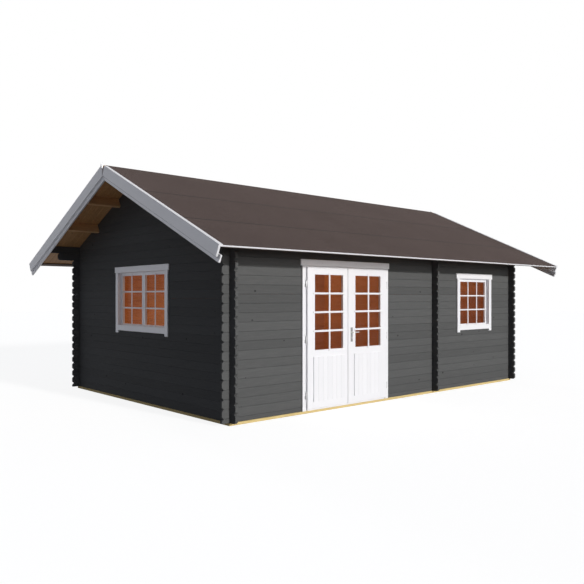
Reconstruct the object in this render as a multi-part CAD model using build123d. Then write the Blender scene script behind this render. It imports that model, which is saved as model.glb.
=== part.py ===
from build123d import *
import math
import os

# Log cabin with a ridge roof, a glazed double door and two windows.
# Millimetres, +Z up. The origin is on the ground under the middle of the ridge.
# The long front wall faces -Y and its left end is at -X.

# Walls of stacked logs
WALL_LENGTH = 6630.0
WALL_DEPTH = 4470.0
LOG_THICKNESS = 44.0
LOG_PITCH = 118.5
LOG_SEAM = 0.4
LOG_ARM = 118.0
ARM_CHAMFER = 27.0
BRACKET_REACH = 373.0
PARTITION_PLACE = 842.0
DOORWAY_WIDTH = 900.0
DOORWAY_PLACE = 765.0
LONG_WALL_COURSES = 21
DOOR_COURSES = 18
DOORWAY_COURSES = 17
SILL_COURSES = 9
WINDOW_COURSES = 8
TOP_COURSE_SHARE = 0.5
SMALLEST_OFFCUT = 20.0

# Bearers and floor
BEARER_HEIGHT = 36.0
BEARER_WIDTH = 70.0
BEARER_PROUD = 10.0
JOIST_WIDTH = 45.0
MAIN_ROOM_JOISTS = 6
SIDE_ROOM_JOISTS = 3
FLOOR_THICKNESS = 18.0
FLOOR_GAP = 5.0

# Roof
ROOF_PITCH = 24.6
EAVE_OVERHANG = 649.0
GABLE_OVERHANG = 620.0
DECK_THICKNESS = 20.0
FELT_THICKNESS = 4.0
FELT_SETBACK = 3.0
RIDGE_GAP = 0.5
EAVE_TRIM_THICKNESS = 18.0
EAVE_TRIM_HEIGHT = 18.0
BARGE_THICKNESS = 28.0
BARGE_HEIGHT = 140.0
STRIP_THICKNESS = 28.0
STRIP_HEIGHT = 90.0
STRIP_LAP = 33.0
STRIP_REACH = 35.0
CAP_THICKNESS = 10.0
VERGE_GAP = 3.0
HORN_PLACE = 27.0
HORN_RISE = 45.0
PURLIN_WIDTH = 44.0
PURLIN_DEPTH = 135.0
RIDGE_PURLIN_DEPTH = 200.0
UPPER_PURLIN_PLACE = 820.0
LOWER_PURLIN_PLACE = 1647.0

# Trim boards around the door and the windows
TRIM_THICKNESS = 20.0
HEAD_TRIM_HEIGHT = 90.0
HEAD_TRIM_LAP = 28.0

# Double door
DOOR_PLACE = -1209.0
DOOR_HALF_WIDTH = 828.0
DOOR_SEAM_PLACE = -28.0
DOOR_SEAM_GAP = 8.0
LEAF_THICKNESS = 40.0
LEAF_GAP = 5.0
LEAF_SIDE_GAP = 6.0
LEAF_BOTTOM = 60.0
LEAF_TOP_DROP = 91.75
LEAF_TOP_GAP = 7.0
DOOR_TRIM_WIDTH = 63.0
DOOR_REBATE = 23.0
JAMB_WIDTH = 50.0
FRAME_HEAD_GAP = 3.75
THRESHOLD_HEIGHT = 18.0
MEETING_STILE = 130.0
HINGE_STILE = 140.0
DOOR_GLASS_LOW = 865.0
DOOR_TOP_RAIL = 110.0
GLASS_THICKNESS = 4.0
DOOR_GLASS_DEPTH = 30.0
PANEL_MARGIN = 32.0
PANEL_THICKNESS = 14.0
PANEL_LOW = 157.0
PANEL_HIGH = 772.0

# Door hinges
HINGE_OFFSET = 13.0
HINGE_DEPTH = 11.0
HINGE_RADIUS = 7.5
HINGE_HALF_LENGTH = 44.0
HINGE_GAP = 0.5
PIN_RADIUS = 3.0
PIN_CLEARANCE = 0.3
PIN_TIP_GAP = 4.0
HINGE_PLATE_WIDTH = 22.0
HINGE_PLATE_THICKNESS = 3.0
HINGE_WEB = 8.0
UPPER_HINGE_DROP = 238.0
MIDDLE_HINGE_HEIGHT = 1012.0
LOWER_HINGE_HEIGHT = 245.0

# Door handle
HANDLE_PLACE = 47.0
HANDLE_PLATE_WIDTH = 38.0
HANDLE_PLATE_HEIGHT = 205.0
HANDLE_PLATE_THICKNESS = 6.0
HANDLE_PLATE_DROP = 33.0
LEVER_HEIGHT = 1085.0
LEVER_LENGTH = 128.0
LEVER_SECTION = 18.0
LEVER_THICKNESS = 12.0
LEVER_STANDOFF = 34.0
NECK_RADIUS = 8.0
SPINDLE_RADIUS = 4.5
HANDLE_CLEARANCE = 0.6

# Windows
FRONT_WINDOW_PLACE = 2093.0
FRONT_WINDOW_HALF_WIDTH = 460.0
GABLE_WINDOW_HALF_WIDTH = 705.0
WINDOW_TRIM_WIDTH = 80.0
WINDOW_FRAME_WIDTH = 30.0
WINDOW_FRAME_DEPTH = 84.0
WINDOW_FRAME_GAP = 3.0
WINDOW_SILL_RISE = 32.0
WINDOW_HEAD_DROP = 79.0
WINDOW_SIDE_GAP = 0.5
SASH_SETBACK = 40.0
SASH_THICKNESS = 38.0
SASH_STILE = 44.0
SASH_RAIL = 47.0
SASH_GAP = 4.0
GLASS_BACK_LIP = 2.0
SILL_BOARD_DROP = 28.0
SILL_BOARD_HEIGHT = 88.0
TRIM_TAIL = 37.0
TRIM_HEAD_RISE = 15.0

# Worked out from the sizes above
HALF_LENGTH = WALL_LENGTH / 2
HALF_DEPTH = WALL_DEPTH / 2
BASE = BEARER_HEIGHT
NOTCH_DEPTH = LOG_PITCH / 2
WALL_TOP = BASE + LOG_PITCH * LONG_WALL_COURSES - LOG_PITCH / 2
ROOM_HALF_DEPTH = HALF_DEPTH - LOG_THICKNESS
SLOPE = math.radians(ROOF_PITCH)
SLOPE_COS = math.cos(SLOPE)
SLOPE_SIN = math.sin(SLOPE)
SLOPE_TAN = math.tan(SLOPE)
EAVE_PLACE = HALF_DEPTH + EAVE_OVERHANG
RIDGE_UNDERSIDE = WALL_TOP + ROOM_HALF_DEPTH * SLOPE_TAN
RIDGE_HEIGHT = RIDGE_UNDERSIDE + DECK_THICKNESS / SLOPE_COS
CROSSING_COURSES = LONG_WALL_COURSES - 1
GABLE_COURSES = int((RIDGE_UNDERSIDE - BASE) / LOG_PITCH + TOP_COURSE_SHARE)
SLOPE_LENGTH = (EAVE_PLACE - CAP_THICKNESS * SLOPE_SIN) / SLOPE_COS
ROOF_END = HALF_LENGTH + GABLE_OVERHANG
DECK_END = ROOF_END - BARGE_THICKNESS
PURLIN_END = DECK_END - STRIP_THICKNESS
FRONT_FACE = -HALF_DEPTH
LEAF_BACK = FRONT_FACE - LEAF_GAP
LEAF_FRONT = LEAF_BACK - LEAF_THICKNESS
TRIM_FRONT = FRONT_FACE - TRIM_THICKNESS
HINGE_LINE = LEAF_FRONT + HINGE_DEPTH
DOOR_OPENING = DOOR_HALF_WIDTH - DOOR_REBATE + JAMB_WIDTH + WINDOW_SIDE_GAP
DOOR_TOP = BASE + LOG_PITCH * DOOR_COURSES - LOG_PITCH / 2
LEAF_TOP = DOOR_TOP - LEAF_TOP_DROP
DOOR_GLASS_HIGH = LEAF_TOP - DOOR_TOP_RAIL
UPPER_HINGE_HEIGHT = LEAF_TOP - UPPER_HINGE_DROP
SEAM_LINE = DOOR_PLACE + DOOR_SEAM_PLACE
HINGE_HEIGHTS = (UPPER_HINGE_HEIGHT, MIDDLE_HINGE_HEIGHT, LOWER_HINGE_HEIGHT)

os.makedirs("parts", exist_ok=True)


def write(name, solids):
    """Writes the pieces of one node to its file."""
    pieces = [solid for item in solids for solid in item.solids()]
    shape = pieces[0] if len(pieces) == 1 else Compound(pieces)
    export_step(shape, f"parts/{name}.step")


def block(low, high):
    """A box between two opposite corners."""
    size = [b - a for a, b in zip(low, high)]
    middle = [(a + b) / 2 for a, b in zip(low, high)]
    return Pos(*middle) * Box(*size)


def prism(points, direction):
    """A flat outline drawn along a straight line."""
    face = Face(Wire.make_polygon([Vector(*point) for point in points]))
    return Solid.extrude(face, Vector(*direction))


def rod(center, axis, length, radius):
    """A round bar from a point, along an axis."""
    plane = Plane(origin=center, z_dir=axis)
    return Solid.make_cylinder(radius, length, plane)


def along_x(outline, start, end):
    """An outline of (y, z) points drawn from one x to another."""
    return prism([(start, y, z) for y, z in outline], (end - start, 0, 0))


def roof_point(side, along, lift):
    """A point of one slope: so far down from the ridge, so far above the deck's top."""
    y = side * (along * SLOPE_COS + lift * SLOPE_SIN)
    return y, RIDGE_HEIGHT - along * SLOPE_SIN + lift * SLOPE_COS


def roof_height(y, lift):
    """The height over y of a plane that lies so far above the deck's top."""
    return RIDGE_HEIGHT - abs(y) * SLOPE_TAN + lift / SLOPE_COS


def slope_outline(side, low, high, length, gap):
    """The section of a layer of one slope, cut upright at the ridge and square at the eave."""
    ridge = side * gap
    return [
        (ridge, roof_height(ridge, high)),
        roof_point(side, length, high),
        roof_point(side, length, low),
        (ridge, roof_height(ridge, low)),
    ]


def square_end(side, lift):
    """The upper end of a verge board, cut square so that a V opens at the ridge."""
    return roof_point(side, BARGE_HEIGHT * SLOPE_TAN + VERGE_GAP, lift)


def under_roof():
    """The space below the roof deck, which the tops of the walls are cut to."""
    lift = -DECK_THICKNESS - LOG_SEAM
    reach = EAVE_PLACE
    outline = [
        (-reach, 0),
        (reach, 0),
        (reach, roof_height(reach, lift)),
        (0, roof_height(0, lift)),
        (-reach, roof_height(reach, lift)),
    ]
    return along_x(outline, -ROOF_END, ROOF_END)


def purlin_outline(side, place, grow):
    """The section of a purlin, square to one slope, or of its hole if it is grown."""
    near = place - PURLIN_WIDTH / 2 - grow
    far = place + PURLIN_WIDTH / 2 + grow
    high = grow - DECK_THICKNESS
    low = -DECK_THICKNESS - PURLIN_DEPTH - grow
    return [
        roof_point(side, near, low),
        roof_point(side, far, low),
        roof_point(side, far, high),
        roof_point(side, near, high),
    ]


def ridge_outline(grow):
    """The section of the ridge purlin, or of its hole if it is grown."""
    half = PURLIN_WIDTH / 2 + grow
    lift = -DECK_THICKNESS + grow
    bottom = roof_height(0, -DECK_THICKNESS) - RIDGE_PURLIN_DEPTH - grow
    return [
        (-half, bottom),
        (half, bottom),
        (half, roof_height(half, lift)),
        (0, roof_height(0, lift)),
        (-half, roof_height(half, lift)),
    ]


def purlin_outlines(grow):
    """The sections of all purlins."""
    places = (UPPER_PURLIN_PLACE, LOWER_PURLIN_PLACE)
    slopes = [purlin_outline(side, place, grow) for side in (-1, 1) for place in places]
    return slopes + [ridge_outline(grow)]


def log_outline(start, end, low, high, crossings, free, notched, flat_top):
    """The side view of a log, with its corner notches below and its bevelled free ends."""
    top = high - LOG_SEAM
    bevel = ARM_CHAMFER
    points = []
    if free[0] and notched:
        points += [(start, low + bevel), (start + bevel, low)]
    else:
        points += [(start, low)]
    for near, far in crossings:
        if notched and near > start and far < end:
            near = near - LOG_SEAM
            far = far + LOG_SEAM
            points += [(near, low), (near, low + NOTCH_DEPTH), (far, low + NOTCH_DEPTH), (far, low)]
    if free[1] and notched:
        points += [(end - bevel, low), (end, low + bevel)]
    else:
        points += [(end, low)]
    if free[1] and not flat_top:
        points += [(end, top - bevel), (end - bevel, top)]
    else:
        points += [(end, top)]
    if free[0] and not flat_top:
        points += [(start + bevel, top), (start, top - bevel)]
    else:
        points += [(start, top)]
    return points


def split(spans, near, far):
    """Cuts an opening out of spans; an end that it makes is not free."""
    result = []
    for start, end, free in spans:
        if far <= start or near >= end:
            result.append((start, end, free))
            continue
        result.append((start, near, (free[0], False)))
        result.append((far, end, (False, free[1])))
    return result


# Front and back walls. Their first course is half a log high.

LEFT_CROSSING = (-HALF_LENGTH, -HALF_LENGTH + LOG_THICKNESS)
PARTITION_CROSSING = (PARTITION_PLACE, PARTITION_PLACE + LOG_THICKNESS)
RIGHT_CROSSING = (HALF_LENGTH - LOG_THICKNESS, HALF_LENGTH)
LONG_CROSSINGS = (LEFT_CROSSING, PARTITION_CROSSING, RIGHT_CROSSING)
ROOF_SPACE = under_roof()


def long_wall_reach(course):
    """How far the logs of a course stand out past the gables, and whether their ends are bevelled."""
    if course == LONG_WALL_COURSES - 1:
        return PURLIN_END - HALF_LENGTH, False
    if course == LONG_WALL_COURSES - 2:
        return BRACKET_REACH, True
    return LOG_ARM, True


def long_wall_course(course, face, side, openings):
    """The logs of one course of the front or back wall."""
    low = BASE + max(0, course * LOG_PITCH - LOG_PITCH / 2)
    high = BASE + course * LOG_PITCH + LOG_PITCH / 2
    reach, bevelled = long_wall_reach(course)
    last = course == LONG_WALL_COURSES - 1
    spans = [(-HALF_LENGTH - reach, HALF_LENGTH + reach, (bevelled, bevelled))]
    for near, far, first, count in openings:
        if first <= course < first + count:
            spans = split(spans, near, far)
    logs = []
    for start, end, free in spans:
        outline = log_outline(start, end, low, high, LONG_CROSSINGS, free, course > 0, last)
        log = prism([(x, face, z) for x, z in outline], (0, -side * LOG_THICKNESS, 0))
        if last:
            log = log & ROOF_SPACE
        logs.append(log)
    return logs


DOOR_NEAR = DOOR_PLACE - DOOR_OPENING
DOOR_FAR = DOOR_PLACE + DOOR_OPENING
FRONT_OPENING = FRONT_WINDOW_HALF_WIDTH + WINDOW_FRAME_WIDTH + WINDOW_SIDE_GAP
WINDOW_NEAR = FRONT_WINDOW_PLACE - FRONT_OPENING
WINDOW_FAR = FRONT_WINDOW_PLACE + FRONT_OPENING
FRONT_OPENINGS = (
    (DOOR_NEAR, DOOR_FAR, 0, DOOR_COURSES),
    (WINDOW_NEAR, WINDOW_FAR, SILL_COURSES, WINDOW_COURSES),
)

front_left = []
front_right = []
front_top = []
for course in range(LONG_WALL_COURSES):
    logs = long_wall_course(course, -HALF_DEPTH, -1, FRONT_OPENINGS)
    if course < DOOR_COURSES:
        front_left.append(logs[0])
        front_right.extend(logs[1:])
    else:
        front_top.extend(logs)
write("front_wall_left_logs", front_left)
write("front_wall_right_logs", front_right)
write("front_wall_top_logs", front_top)

back = []
for course in range(LONG_WALL_COURSES):
    back.extend(long_wall_course(course, HALF_DEPTH, 1, ()))
write("back_wall_logs", back)

# Gables and partition. Their first course is a whole log, so they mesh with the long walls.

FRONT_CROSSING = (-HALF_DEPTH, -ROOM_HALF_DEPTH)
BACK_CROSSING = (ROOM_HALF_DEPTH, HALF_DEPTH)
CROSS_CROSSINGS = (FRONT_CROSSING, BACK_CROSSING)


def cross_wall(face, openings):
    """The logs of a gable or of the partition, whose face towards -X is given."""
    holes = [along_x(outline, face - LOG_SEAM, face + LOG_THICKNESS + LOG_SEAM)
             for outline in purlin_outlines(LOG_SEAM)]
    logs = []
    for course in range(GABLE_COURSES):
        low = BASE + course * LOG_PITCH
        high = low + LOG_PITCH
        crossing = course < CROSSING_COURSES
        reach = HALF_DEPTH + LOG_ARM if crossing else ROOM_HALF_DEPTH - LOG_SEAM
        spans = [(-reach, reach, (crossing, crossing))]
        for near, far, first, count in openings:
            if first <= course < first + count:
                spans = split(spans, near, far)
        for start, end, free in spans:
            outline = log_outline(start, end, low, high, CROSS_CROSSINGS, free, True, False)
            log = along_x(outline, face, face + LOG_THICKNESS)
            if course >= CROSSING_COURSES - 1:
                log = log & ROOF_SPACE
                for hole in holes:
                    log = log - hole
            logs.extend(piece for piece in log.solids() if piece.bounding_box().size.Z > SMALLEST_OFFCUT)
    return logs


GABLE_OPENING = GABLE_WINDOW_HALF_WIDTH + WINDOW_FRAME_WIDTH + WINDOW_SIDE_GAP
GABLE_OPENINGS = ((-GABLE_OPENING, GABLE_OPENING, SILL_COURSES, WINDOW_COURSES),)
DOORWAY_NEAR = DOORWAY_PLACE - DOORWAY_WIDTH / 2
DOORWAY_FAR = DOORWAY_PLACE + DOORWAY_WIDTH / 2
DOORWAY_OPENINGS = ((DOORWAY_NEAR, DOORWAY_FAR, 0, DOORWAY_COURSES),)

write("left_gable_logs", cross_wall(-HALF_LENGTH, GABLE_OPENINGS))
write("right_gable_logs", cross_wall(HALF_LENGTH - LOG_THICKNESS, ()))
write("partition_logs", cross_wall(PARTITION_PLACE, DOORWAY_OPENINGS))

# Bearers under the walls, joists and floor

bearer_out = HALF_DEPTH + BEARER_PROUD
bearer_in = bearer_out - BEARER_WIDTH
side_out = HALF_LENGTH + BEARER_PROUD
side_in = side_out - BEARER_WIDTH
partition_middle = PARTITION_PLACE + LOG_THICKNESS / 2
partition_low = partition_middle - BEARER_WIDTH / 2
partition_high = partition_middle + BEARER_WIDTH / 2
between = bearer_in - LOG_SEAM


def cross_bearer(start, end):
    """A bearer or joist that runs from the front bearer to the back one."""
    return block((start, -between, 0), (end, between, BEARER_HEIGHT))


def joists(start, end, count):
    """Joists spaced evenly between two bearers."""
    step = (end - start) / (count + 1)
    middles = [start + step * (i + 1) for i in range(count)]
    return [cross_bearer(x - JOIST_WIDTH / 2, x + JOIST_WIDTH / 2) for x in middles]


bearers = [
    block((-side_out, -bearer_out, 0), (side_out, -bearer_in, BEARER_HEIGHT)),
    block((-side_out, bearer_in, 0), (side_out, bearer_out, BEARER_HEIGHT)),
    cross_bearer(-side_out, -side_in),
    cross_bearer(partition_low, partition_high),
    cross_bearer(side_in, side_out),
]
write("bearers", bearers)
write("floor_joists", joists(-side_in, partition_low, MAIN_ROOM_JOISTS)
      + joists(partition_high, side_in, SIDE_ROOM_JOISTS))

room_in = ROOM_HALF_DEPTH - FLOOR_GAP
floor_top = BASE + FLOOR_THICKNESS
main_low = -HALF_LENGTH + LOG_THICKNESS + FLOOR_GAP
main_high = PARTITION_PLACE - FLOOR_GAP
side_low = PARTITION_PLACE + LOG_THICKNESS + FLOOR_GAP
side_high = HALF_LENGTH - LOG_THICKNESS - FLOOR_GAP
write("floor", [
    block((main_low, -room_in, BASE), (main_high, room_in, floor_top)),
    block((side_low, -room_in, BASE), (side_high, room_in, floor_top)),
    block((main_high + LOG_SEAM, DOORWAY_NEAR + FLOOR_GAP, BASE),
          (side_low - LOG_SEAM, DOORWAY_FAR - FLOOR_GAP, floor_top)),
])

# Purlins

places = (UPPER_PURLIN_PLACE, LOWER_PURLIN_PLACE)
write("ridge_purlin", [along_x(ridge_outline(0), -PURLIN_END, PURLIN_END)])
write("front_purlins", [along_x(purlin_outline(-1, p, 0), -PURLIN_END, PURLIN_END) for p in places])
write("back_purlins", [along_x(purlin_outline(1, p, 0), -PURLIN_END, PURLIN_END) for p in places])

# Roof deck, felt and eave trim of each slope

deck_length = SLOPE_LENGTH - EAVE_TRIM_THICKNESS
eave_trims = []
for name, side in (("front", -1), ("back", 1)):
    deck = slope_outline(side, -DECK_THICKNESS, 0, deck_length, RIDGE_GAP)
    write(f"roof_deck_{name}", [along_x(deck, -DECK_END, DECK_END)])
    felt = slope_outline(side, 0, FELT_THICKNESS, SLOPE_LENGTH - FELT_SETBACK, RIDGE_GAP)
    write(f"roof_felt_{name}", [along_x(felt, -PURLIN_END, PURLIN_END)])
    trim = [
        roof_point(side, deck_length, 0),
        roof_point(side, SLOPE_LENGTH, 0),
        roof_point(side, SLOPE_LENGTH, -EAVE_TRIM_HEIGHT),
        roof_point(side, deck_length, -EAVE_TRIM_HEIGHT),
    ]
    eave_trims.append(along_x(trim, -DECK_END, DECK_END))
write("eave_trims", eave_trims)

# Bargeboards: a wide outer board, a lower strip behind it and a cap along the top.
# The back boards end in a small point that stands up at the ridge.

barges = []
strips = []
caps = []
strip_high = STRIP_LAP - BARGE_HEIGHT
strip_low = strip_high - STRIP_HEIGHT
for side in (-1, 1):
    barge = [
        square_end(side, 0),
        roof_point(side, SLOPE_LENGTH, 0),
        roof_point(side, SLOPE_LENGTH, -BARGE_HEIGHT),
        square_end(side, -BARGE_HEIGHT),
    ]
    if side > 0:
        barge.append((HORN_PLACE, RIDGE_HEIGHT + HORN_RISE))
    strip = slope_outline(side, strip_low, strip_high, SLOPE_LENGTH + STRIP_REACH, RIDGE_GAP)
    cap = [
        square_end(side, CAP_THICKNESS),
        roof_point(side, SLOPE_LENGTH, CAP_THICKNESS),
        roof_point(side, SLOPE_LENGTH, 0),
        square_end(side, 0),
    ]
    for end in (-1, 1):
        barges.append(along_x(barge, end * ROOF_END, end * DECK_END))
        strips.append(along_x(strip, end * DECK_END, end * PURLIN_END))
        caps.append(along_x(cap, end * ROOF_END, end * PURLIN_END))
write("bargeboards", barges)
write("bargeboard_strips", strips)
write("verge_caps", caps)

# Door frame, threshold and trim

clear = DOOR_HALF_WIDTH - DOOR_REBATE
jamb_out = clear + JAMB_WIDTH
frame_back = FRONT_FACE + LOG_THICKNESS
clear_top = LEAF_TOP - DOOR_REBATE
trim_in = DOOR_HALF_WIDTH + LEAF_SIDE_GAP
trim_out = trim_in + DOOR_TRIM_WIDTH
head_low = LEAF_TOP + LEAF_TOP_GAP
head_out = trim_out + HEAD_TRIM_LAP


def door_block(low_x, high_x, low_y, high_y, low_z, high_z):
    """A box whose x is measured from the middle of the door."""
    return block((DOOR_PLACE + low_x, low_y, low_z), (DOOR_PLACE + high_x, high_y, high_z))


write("door_frame", [
    door_block(-jamb_out, -clear, FRONT_FACE, frame_back, BASE, clear_top - LOG_SEAM),
    door_block(clear, jamb_out, FRONT_FACE, frame_back, BASE, clear_top - LOG_SEAM),
    door_block(-jamb_out, jamb_out, FRONT_FACE, frame_back, clear_top, DOOR_TOP - FRAME_HEAD_GAP),
])
write("door_threshold", [
    door_block(-clear, clear, TRIM_FRONT, frame_back, BASE, BASE + THRESHOLD_HEIGHT),
])
write("door_trim", [
    door_block(-trim_out, -trim_in, TRIM_FRONT, FRONT_FACE, BASE, head_low - LOG_SEAM),
    door_block(trim_in, trim_out, TRIM_FRONT, FRONT_FACE, BASE, head_low - LOG_SEAM),
    door_block(-head_out, head_out, TRIM_FRONT, FRONT_FACE, head_low, head_low + HEAD_TRIM_HEIGHT),
])

# Door leaves. The left one is at -X. The seam between them lies left of the middle.

glass_front = LEAF_FRONT + DOOR_GLASS_DEPTH
glass_back = glass_front + GLASS_THICKNESS
handle_x = DOOR_PLACE + HANDLE_PLACE


def hinge_line(side):
    """The x of a leaf's hinge pins."""
    return DOOR_PLACE + side * (DOOR_HALF_WIDTH + HINGE_OFFSET)


def leaf_span(side):
    """The two edges of a leaf, the smaller x first."""
    edge = DOOR_PLACE + side * DOOR_HALF_WIDTH
    meeting = SEAM_LINE + side * DOOR_SEAM_GAP / 2
    return min(edge, meeting), max(edge, meeting)


def glass_span(side, grow):
    """The two sides of a leaf's glazed opening, grown by a margin."""
    inner = DOOR_PLACE + side * (MEETING_STILE - grow)
    outer = DOOR_PLACE + side * (DOOR_HALF_WIDTH - HINGE_STILE + grow)
    return min(inner, outer), max(inner, outer)


def leaf(side):
    """The wooden leaf with its glazed opening."""
    low, high = leaf_span(side)
    near, far = glass_span(side, 0)
    body = block((low, LEAF_FRONT, LEAF_BOTTOM), (high, LEAF_BACK, LEAF_TOP))
    opening = block((near, LEAF_FRONT, DOOR_GLASS_LOW), (far, LEAF_BACK, DOOR_GLASS_HIGH))
    return body - opening


def fixed_hinge(side, height):
    """The lower half of a hinge, on the trim, with its pin."""
    x = hinge_line(side)
    low = height - HINGE_HALF_LENGTH
    knuckle = rod((x, HINGE_LINE, low), (0, 0, 1), HINGE_HALF_LENGTH - HINGE_GAP, HINGE_RADIUS)
    pin_length = 2 * HINGE_HALF_LENGTH - PIN_TIP_GAP
    pin = rod((x, HINGE_LINE, low), (0, 0, 1), pin_length, PIN_RADIUS)
    inner = x - side * HINGE_WEB / 2
    outer = x + side * HINGE_PLATE_WIDTH
    top = height - HINGE_GAP
    plate = block((min(inner, outer), TRIM_FRONT - HINGE_PLATE_THICKNESS, low),
                  (max(inner, outer), TRIM_FRONT, top))
    web = block((x - HINGE_WEB / 2, HINGE_LINE, low), (x + HINGE_WEB / 2, TRIM_FRONT, top))
    return knuckle + pin + plate + web


def moving_hinge(side, height):
    """The upper half of a hinge, on the edge of the leaf."""
    x = hinge_line(side)
    low = height + HINGE_GAP
    length = HINGE_HALF_LENGTH - HINGE_GAP
    knuckle = rod((x, HINGE_LINE, low), (0, 0, 1), length, HINGE_RADIUS)
    edge = x - side * HINGE_OFFSET
    web = block((min(x, edge), HINGE_LINE - HINGE_WEB / 2, low),
                (max(x, edge), HINGE_LINE + HINGE_WEB / 2, height + HINGE_HALF_LENGTH))
    bore = rod((x, HINGE_LINE, low), (0, 0, 1), length, PIN_RADIUS + PIN_CLEARANCE)
    return knuckle + web - bore


fixed_hinges = []
for name, side in (("left", -1), ("right", 1)):
    wood = leaf(side)
    if side > 0:
        wood = wood - rod((handle_x, LEAF_FRONT, LEVER_HEIGHT), (0, 1, 0), LEAF_THICKNESS,
                          SPINDLE_RADIUS + HANDLE_CLEARANCE)
    write(f"{name}_door_leaf", [wood])
    near, far = glass_span(side, 0)
    write(f"{name}_door_glass", [
        block((near, glass_front, DOOR_GLASS_LOW), (far, glass_back, DOOR_GLASS_HIGH)),
    ])
    near, far = glass_span(side, PANEL_MARGIN)
    write(f"{name}_door_panel", [
        block((near, LEAF_FRONT - PANEL_THICKNESS, PANEL_LOW), (far, LEAF_FRONT, PANEL_HIGH)),
    ])
    write(f"{name}_door_hinges", [moving_hinge(side, height) for height in HINGE_HEIGHTS])
    fixed_hinges += [fixed_hinge(side, height) for height in HINGE_HEIGHTS]
write("frame_hinges", fixed_hinges)

# Handle plates on both faces of the right leaf, and the lever that turns in them

plate_low = LEVER_HEIGHT - HANDLE_PLATE_DROP - HANDLE_PLATE_HEIGHT / 2
plate_high = plate_low + HANDLE_PLATE_HEIGHT


def handle_plate(face, out):
    """A plate on one face of the leaf, with a hole for the lever's neck."""
    ends = (face, face + out * HANDLE_PLATE_THICKNESS)
    plate = block((handle_x - HANDLE_PLATE_WIDTH / 2, min(ends), plate_low),
                  (handle_x + HANDLE_PLATE_WIDTH / 2, max(ends), plate_high))
    hole = rod((handle_x, face, LEVER_HEIGHT), (0, out, 0), HANDLE_PLATE_THICKNESS,
               NECK_RADIUS + HANDLE_CLEARANCE)
    return plate - hole


def lever_half(face, out):
    """One arm of the lever with its neck."""
    neck_start = face + out * HANDLE_CLEARANCE
    neck = rod((handle_x, neck_start, LEVER_HEIGHT), (0, out, 0),
               LEVER_STANDOFF + LEVER_THICKNESS - HANDLE_CLEARANCE, NECK_RADIUS)
    ends = (face + out * LEVER_STANDOFF, face + out * (LEVER_STANDOFF + LEVER_THICKNESS))
    arm = block((handle_x, min(ends), LEVER_HEIGHT - LEVER_SECTION / 2),
                (handle_x + LEVER_LENGTH, max(ends), LEVER_HEIGHT + LEVER_SECTION / 2))
    return neck + arm


write("handle_plates", [handle_plate(LEAF_FRONT, -1), handle_plate(LEAF_BACK, 1)])
spindle_start = LEAF_FRONT - LEVER_STANDOFF
spindle = rod((handle_x, spindle_start, LEVER_HEIGHT), (0, 1, 0),
              LEAF_THICKNESS + 2 * LEVER_STANDOFF, SPINDLE_RADIUS)
write("lever_handle", [lever_half(LEAF_FRONT, -1) + spindle + lever_half(LEAF_BACK, 1)])


# Windows. Each is drawn in a plane: across is the wall's run, depth is inwards from its face.

def window_bar(place, across, depth, height):
    """A box of a window, placed in the front wall or in the left gable."""
    if place == "front":
        low = (FRONT_WINDOW_PLACE + across[0], FRONT_FACE + depth[0], height[0])
        high = (FRONT_WINDOW_PLACE + across[1], FRONT_FACE + depth[1], height[1])
    else:
        low = (-HALF_LENGTH + depth[0], across[0], height[0])
        high = (-HALF_LENGTH + depth[1], across[1], height[1])
    return block(low, high)


def ring(place, half_in, half_out, depth, low, high):
    """Two uprights with a bar below and a bar above between them; low and high are pairs."""
    whole = (low[0], high[1])
    level_in = half_in - LOG_SEAM
    return [
        window_bar(place, (-half_out, -half_in), depth, whole),
        window_bar(place, (half_in, half_out), depth, whole),
        window_bar(place, (-level_in, level_in), depth, low),
        window_bar(place, (-level_in, level_in), depth, high),
    ]


def sash(place, start, end, low, high):
    """One sash and its sheet of glass."""
    depth = (SASH_SETBACK, SASH_SETBACK + SASH_THICKNESS)
    pane_back = SASH_SETBACK + SASH_THICKNESS - GLASS_BACK_LIP
    pane_depth = (pane_back - GLASS_THICKNESS, pane_back)
    inner = (start + SASH_STILE, end - SASH_STILE)
    level = (inner[0] + LOG_SEAM, inner[1] - LOG_SEAM)
    pane = (low + SASH_RAIL, high - SASH_RAIL)
    bars = [
        window_bar(place, (start, inner[0]), depth, (low, high)),
        window_bar(place, (inner[1], end), depth, (low, high)),
        window_bar(place, level, depth, (low, pane[0])),
        window_bar(place, level, depth, (pane[1], high)),
    ]
    return bars, window_bar(place, inner, pane_depth, pane)


def window(place, half, first_low, sashes):
    """All pieces of one window, whose log opening starts at a height."""
    opening_high = first_low + LOG_PITCH * WINDOW_COURSES
    frame_low = first_low + WINDOW_FRAME_GAP
    frame_high = opening_high - WINDOW_FRAME_GAP
    clear_low = first_low + WINDOW_SILL_RISE
    clear_high = opening_high - WINDOW_HEAD_DROP
    frame = ring(place, half, half + WINDOW_FRAME_WIDTH, (0, WINDOW_FRAME_DEPTH),
                 (frame_low, clear_low), (clear_high, frame_high))
    write(f"{place}_window_frame", frame)
    bars = []
    panes = []
    for start, end in sashes:
        made = sash(place, start, end, clear_low, clear_high)
        bars += made[0]
        panes.append(made[1])
    write(f"{place}_window_sash", bars)
    write(f"{place}_window_glass", panes)
    depth = (-TRIM_THICKNESS, 0)
    sill_low = first_low - SILL_BOARD_DROP
    head_high = opening_high + TRIM_HEAD_RISE
    trim_head = head_high - HEAD_TRIM_HEIGHT
    out = half + WINDOW_TRIM_WIDTH
    upright = (sill_low - TRIM_TAIL, trim_head - LOG_SEAM)
    lap = out + HEAD_TRIM_LAP
    write(f"{place}_window_trim", [
        window_bar(place, (-out, -half), depth, upright),
        window_bar(place, (half, out), depth, upright),
        window_bar(place, (-half + LOG_SEAM, half - LOG_SEAM), depth,
                   (sill_low, sill_low + SILL_BOARD_HEIGHT)),
        window_bar(place, (-lap, lap), depth, (trim_head, head_high)),
    ])


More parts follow.
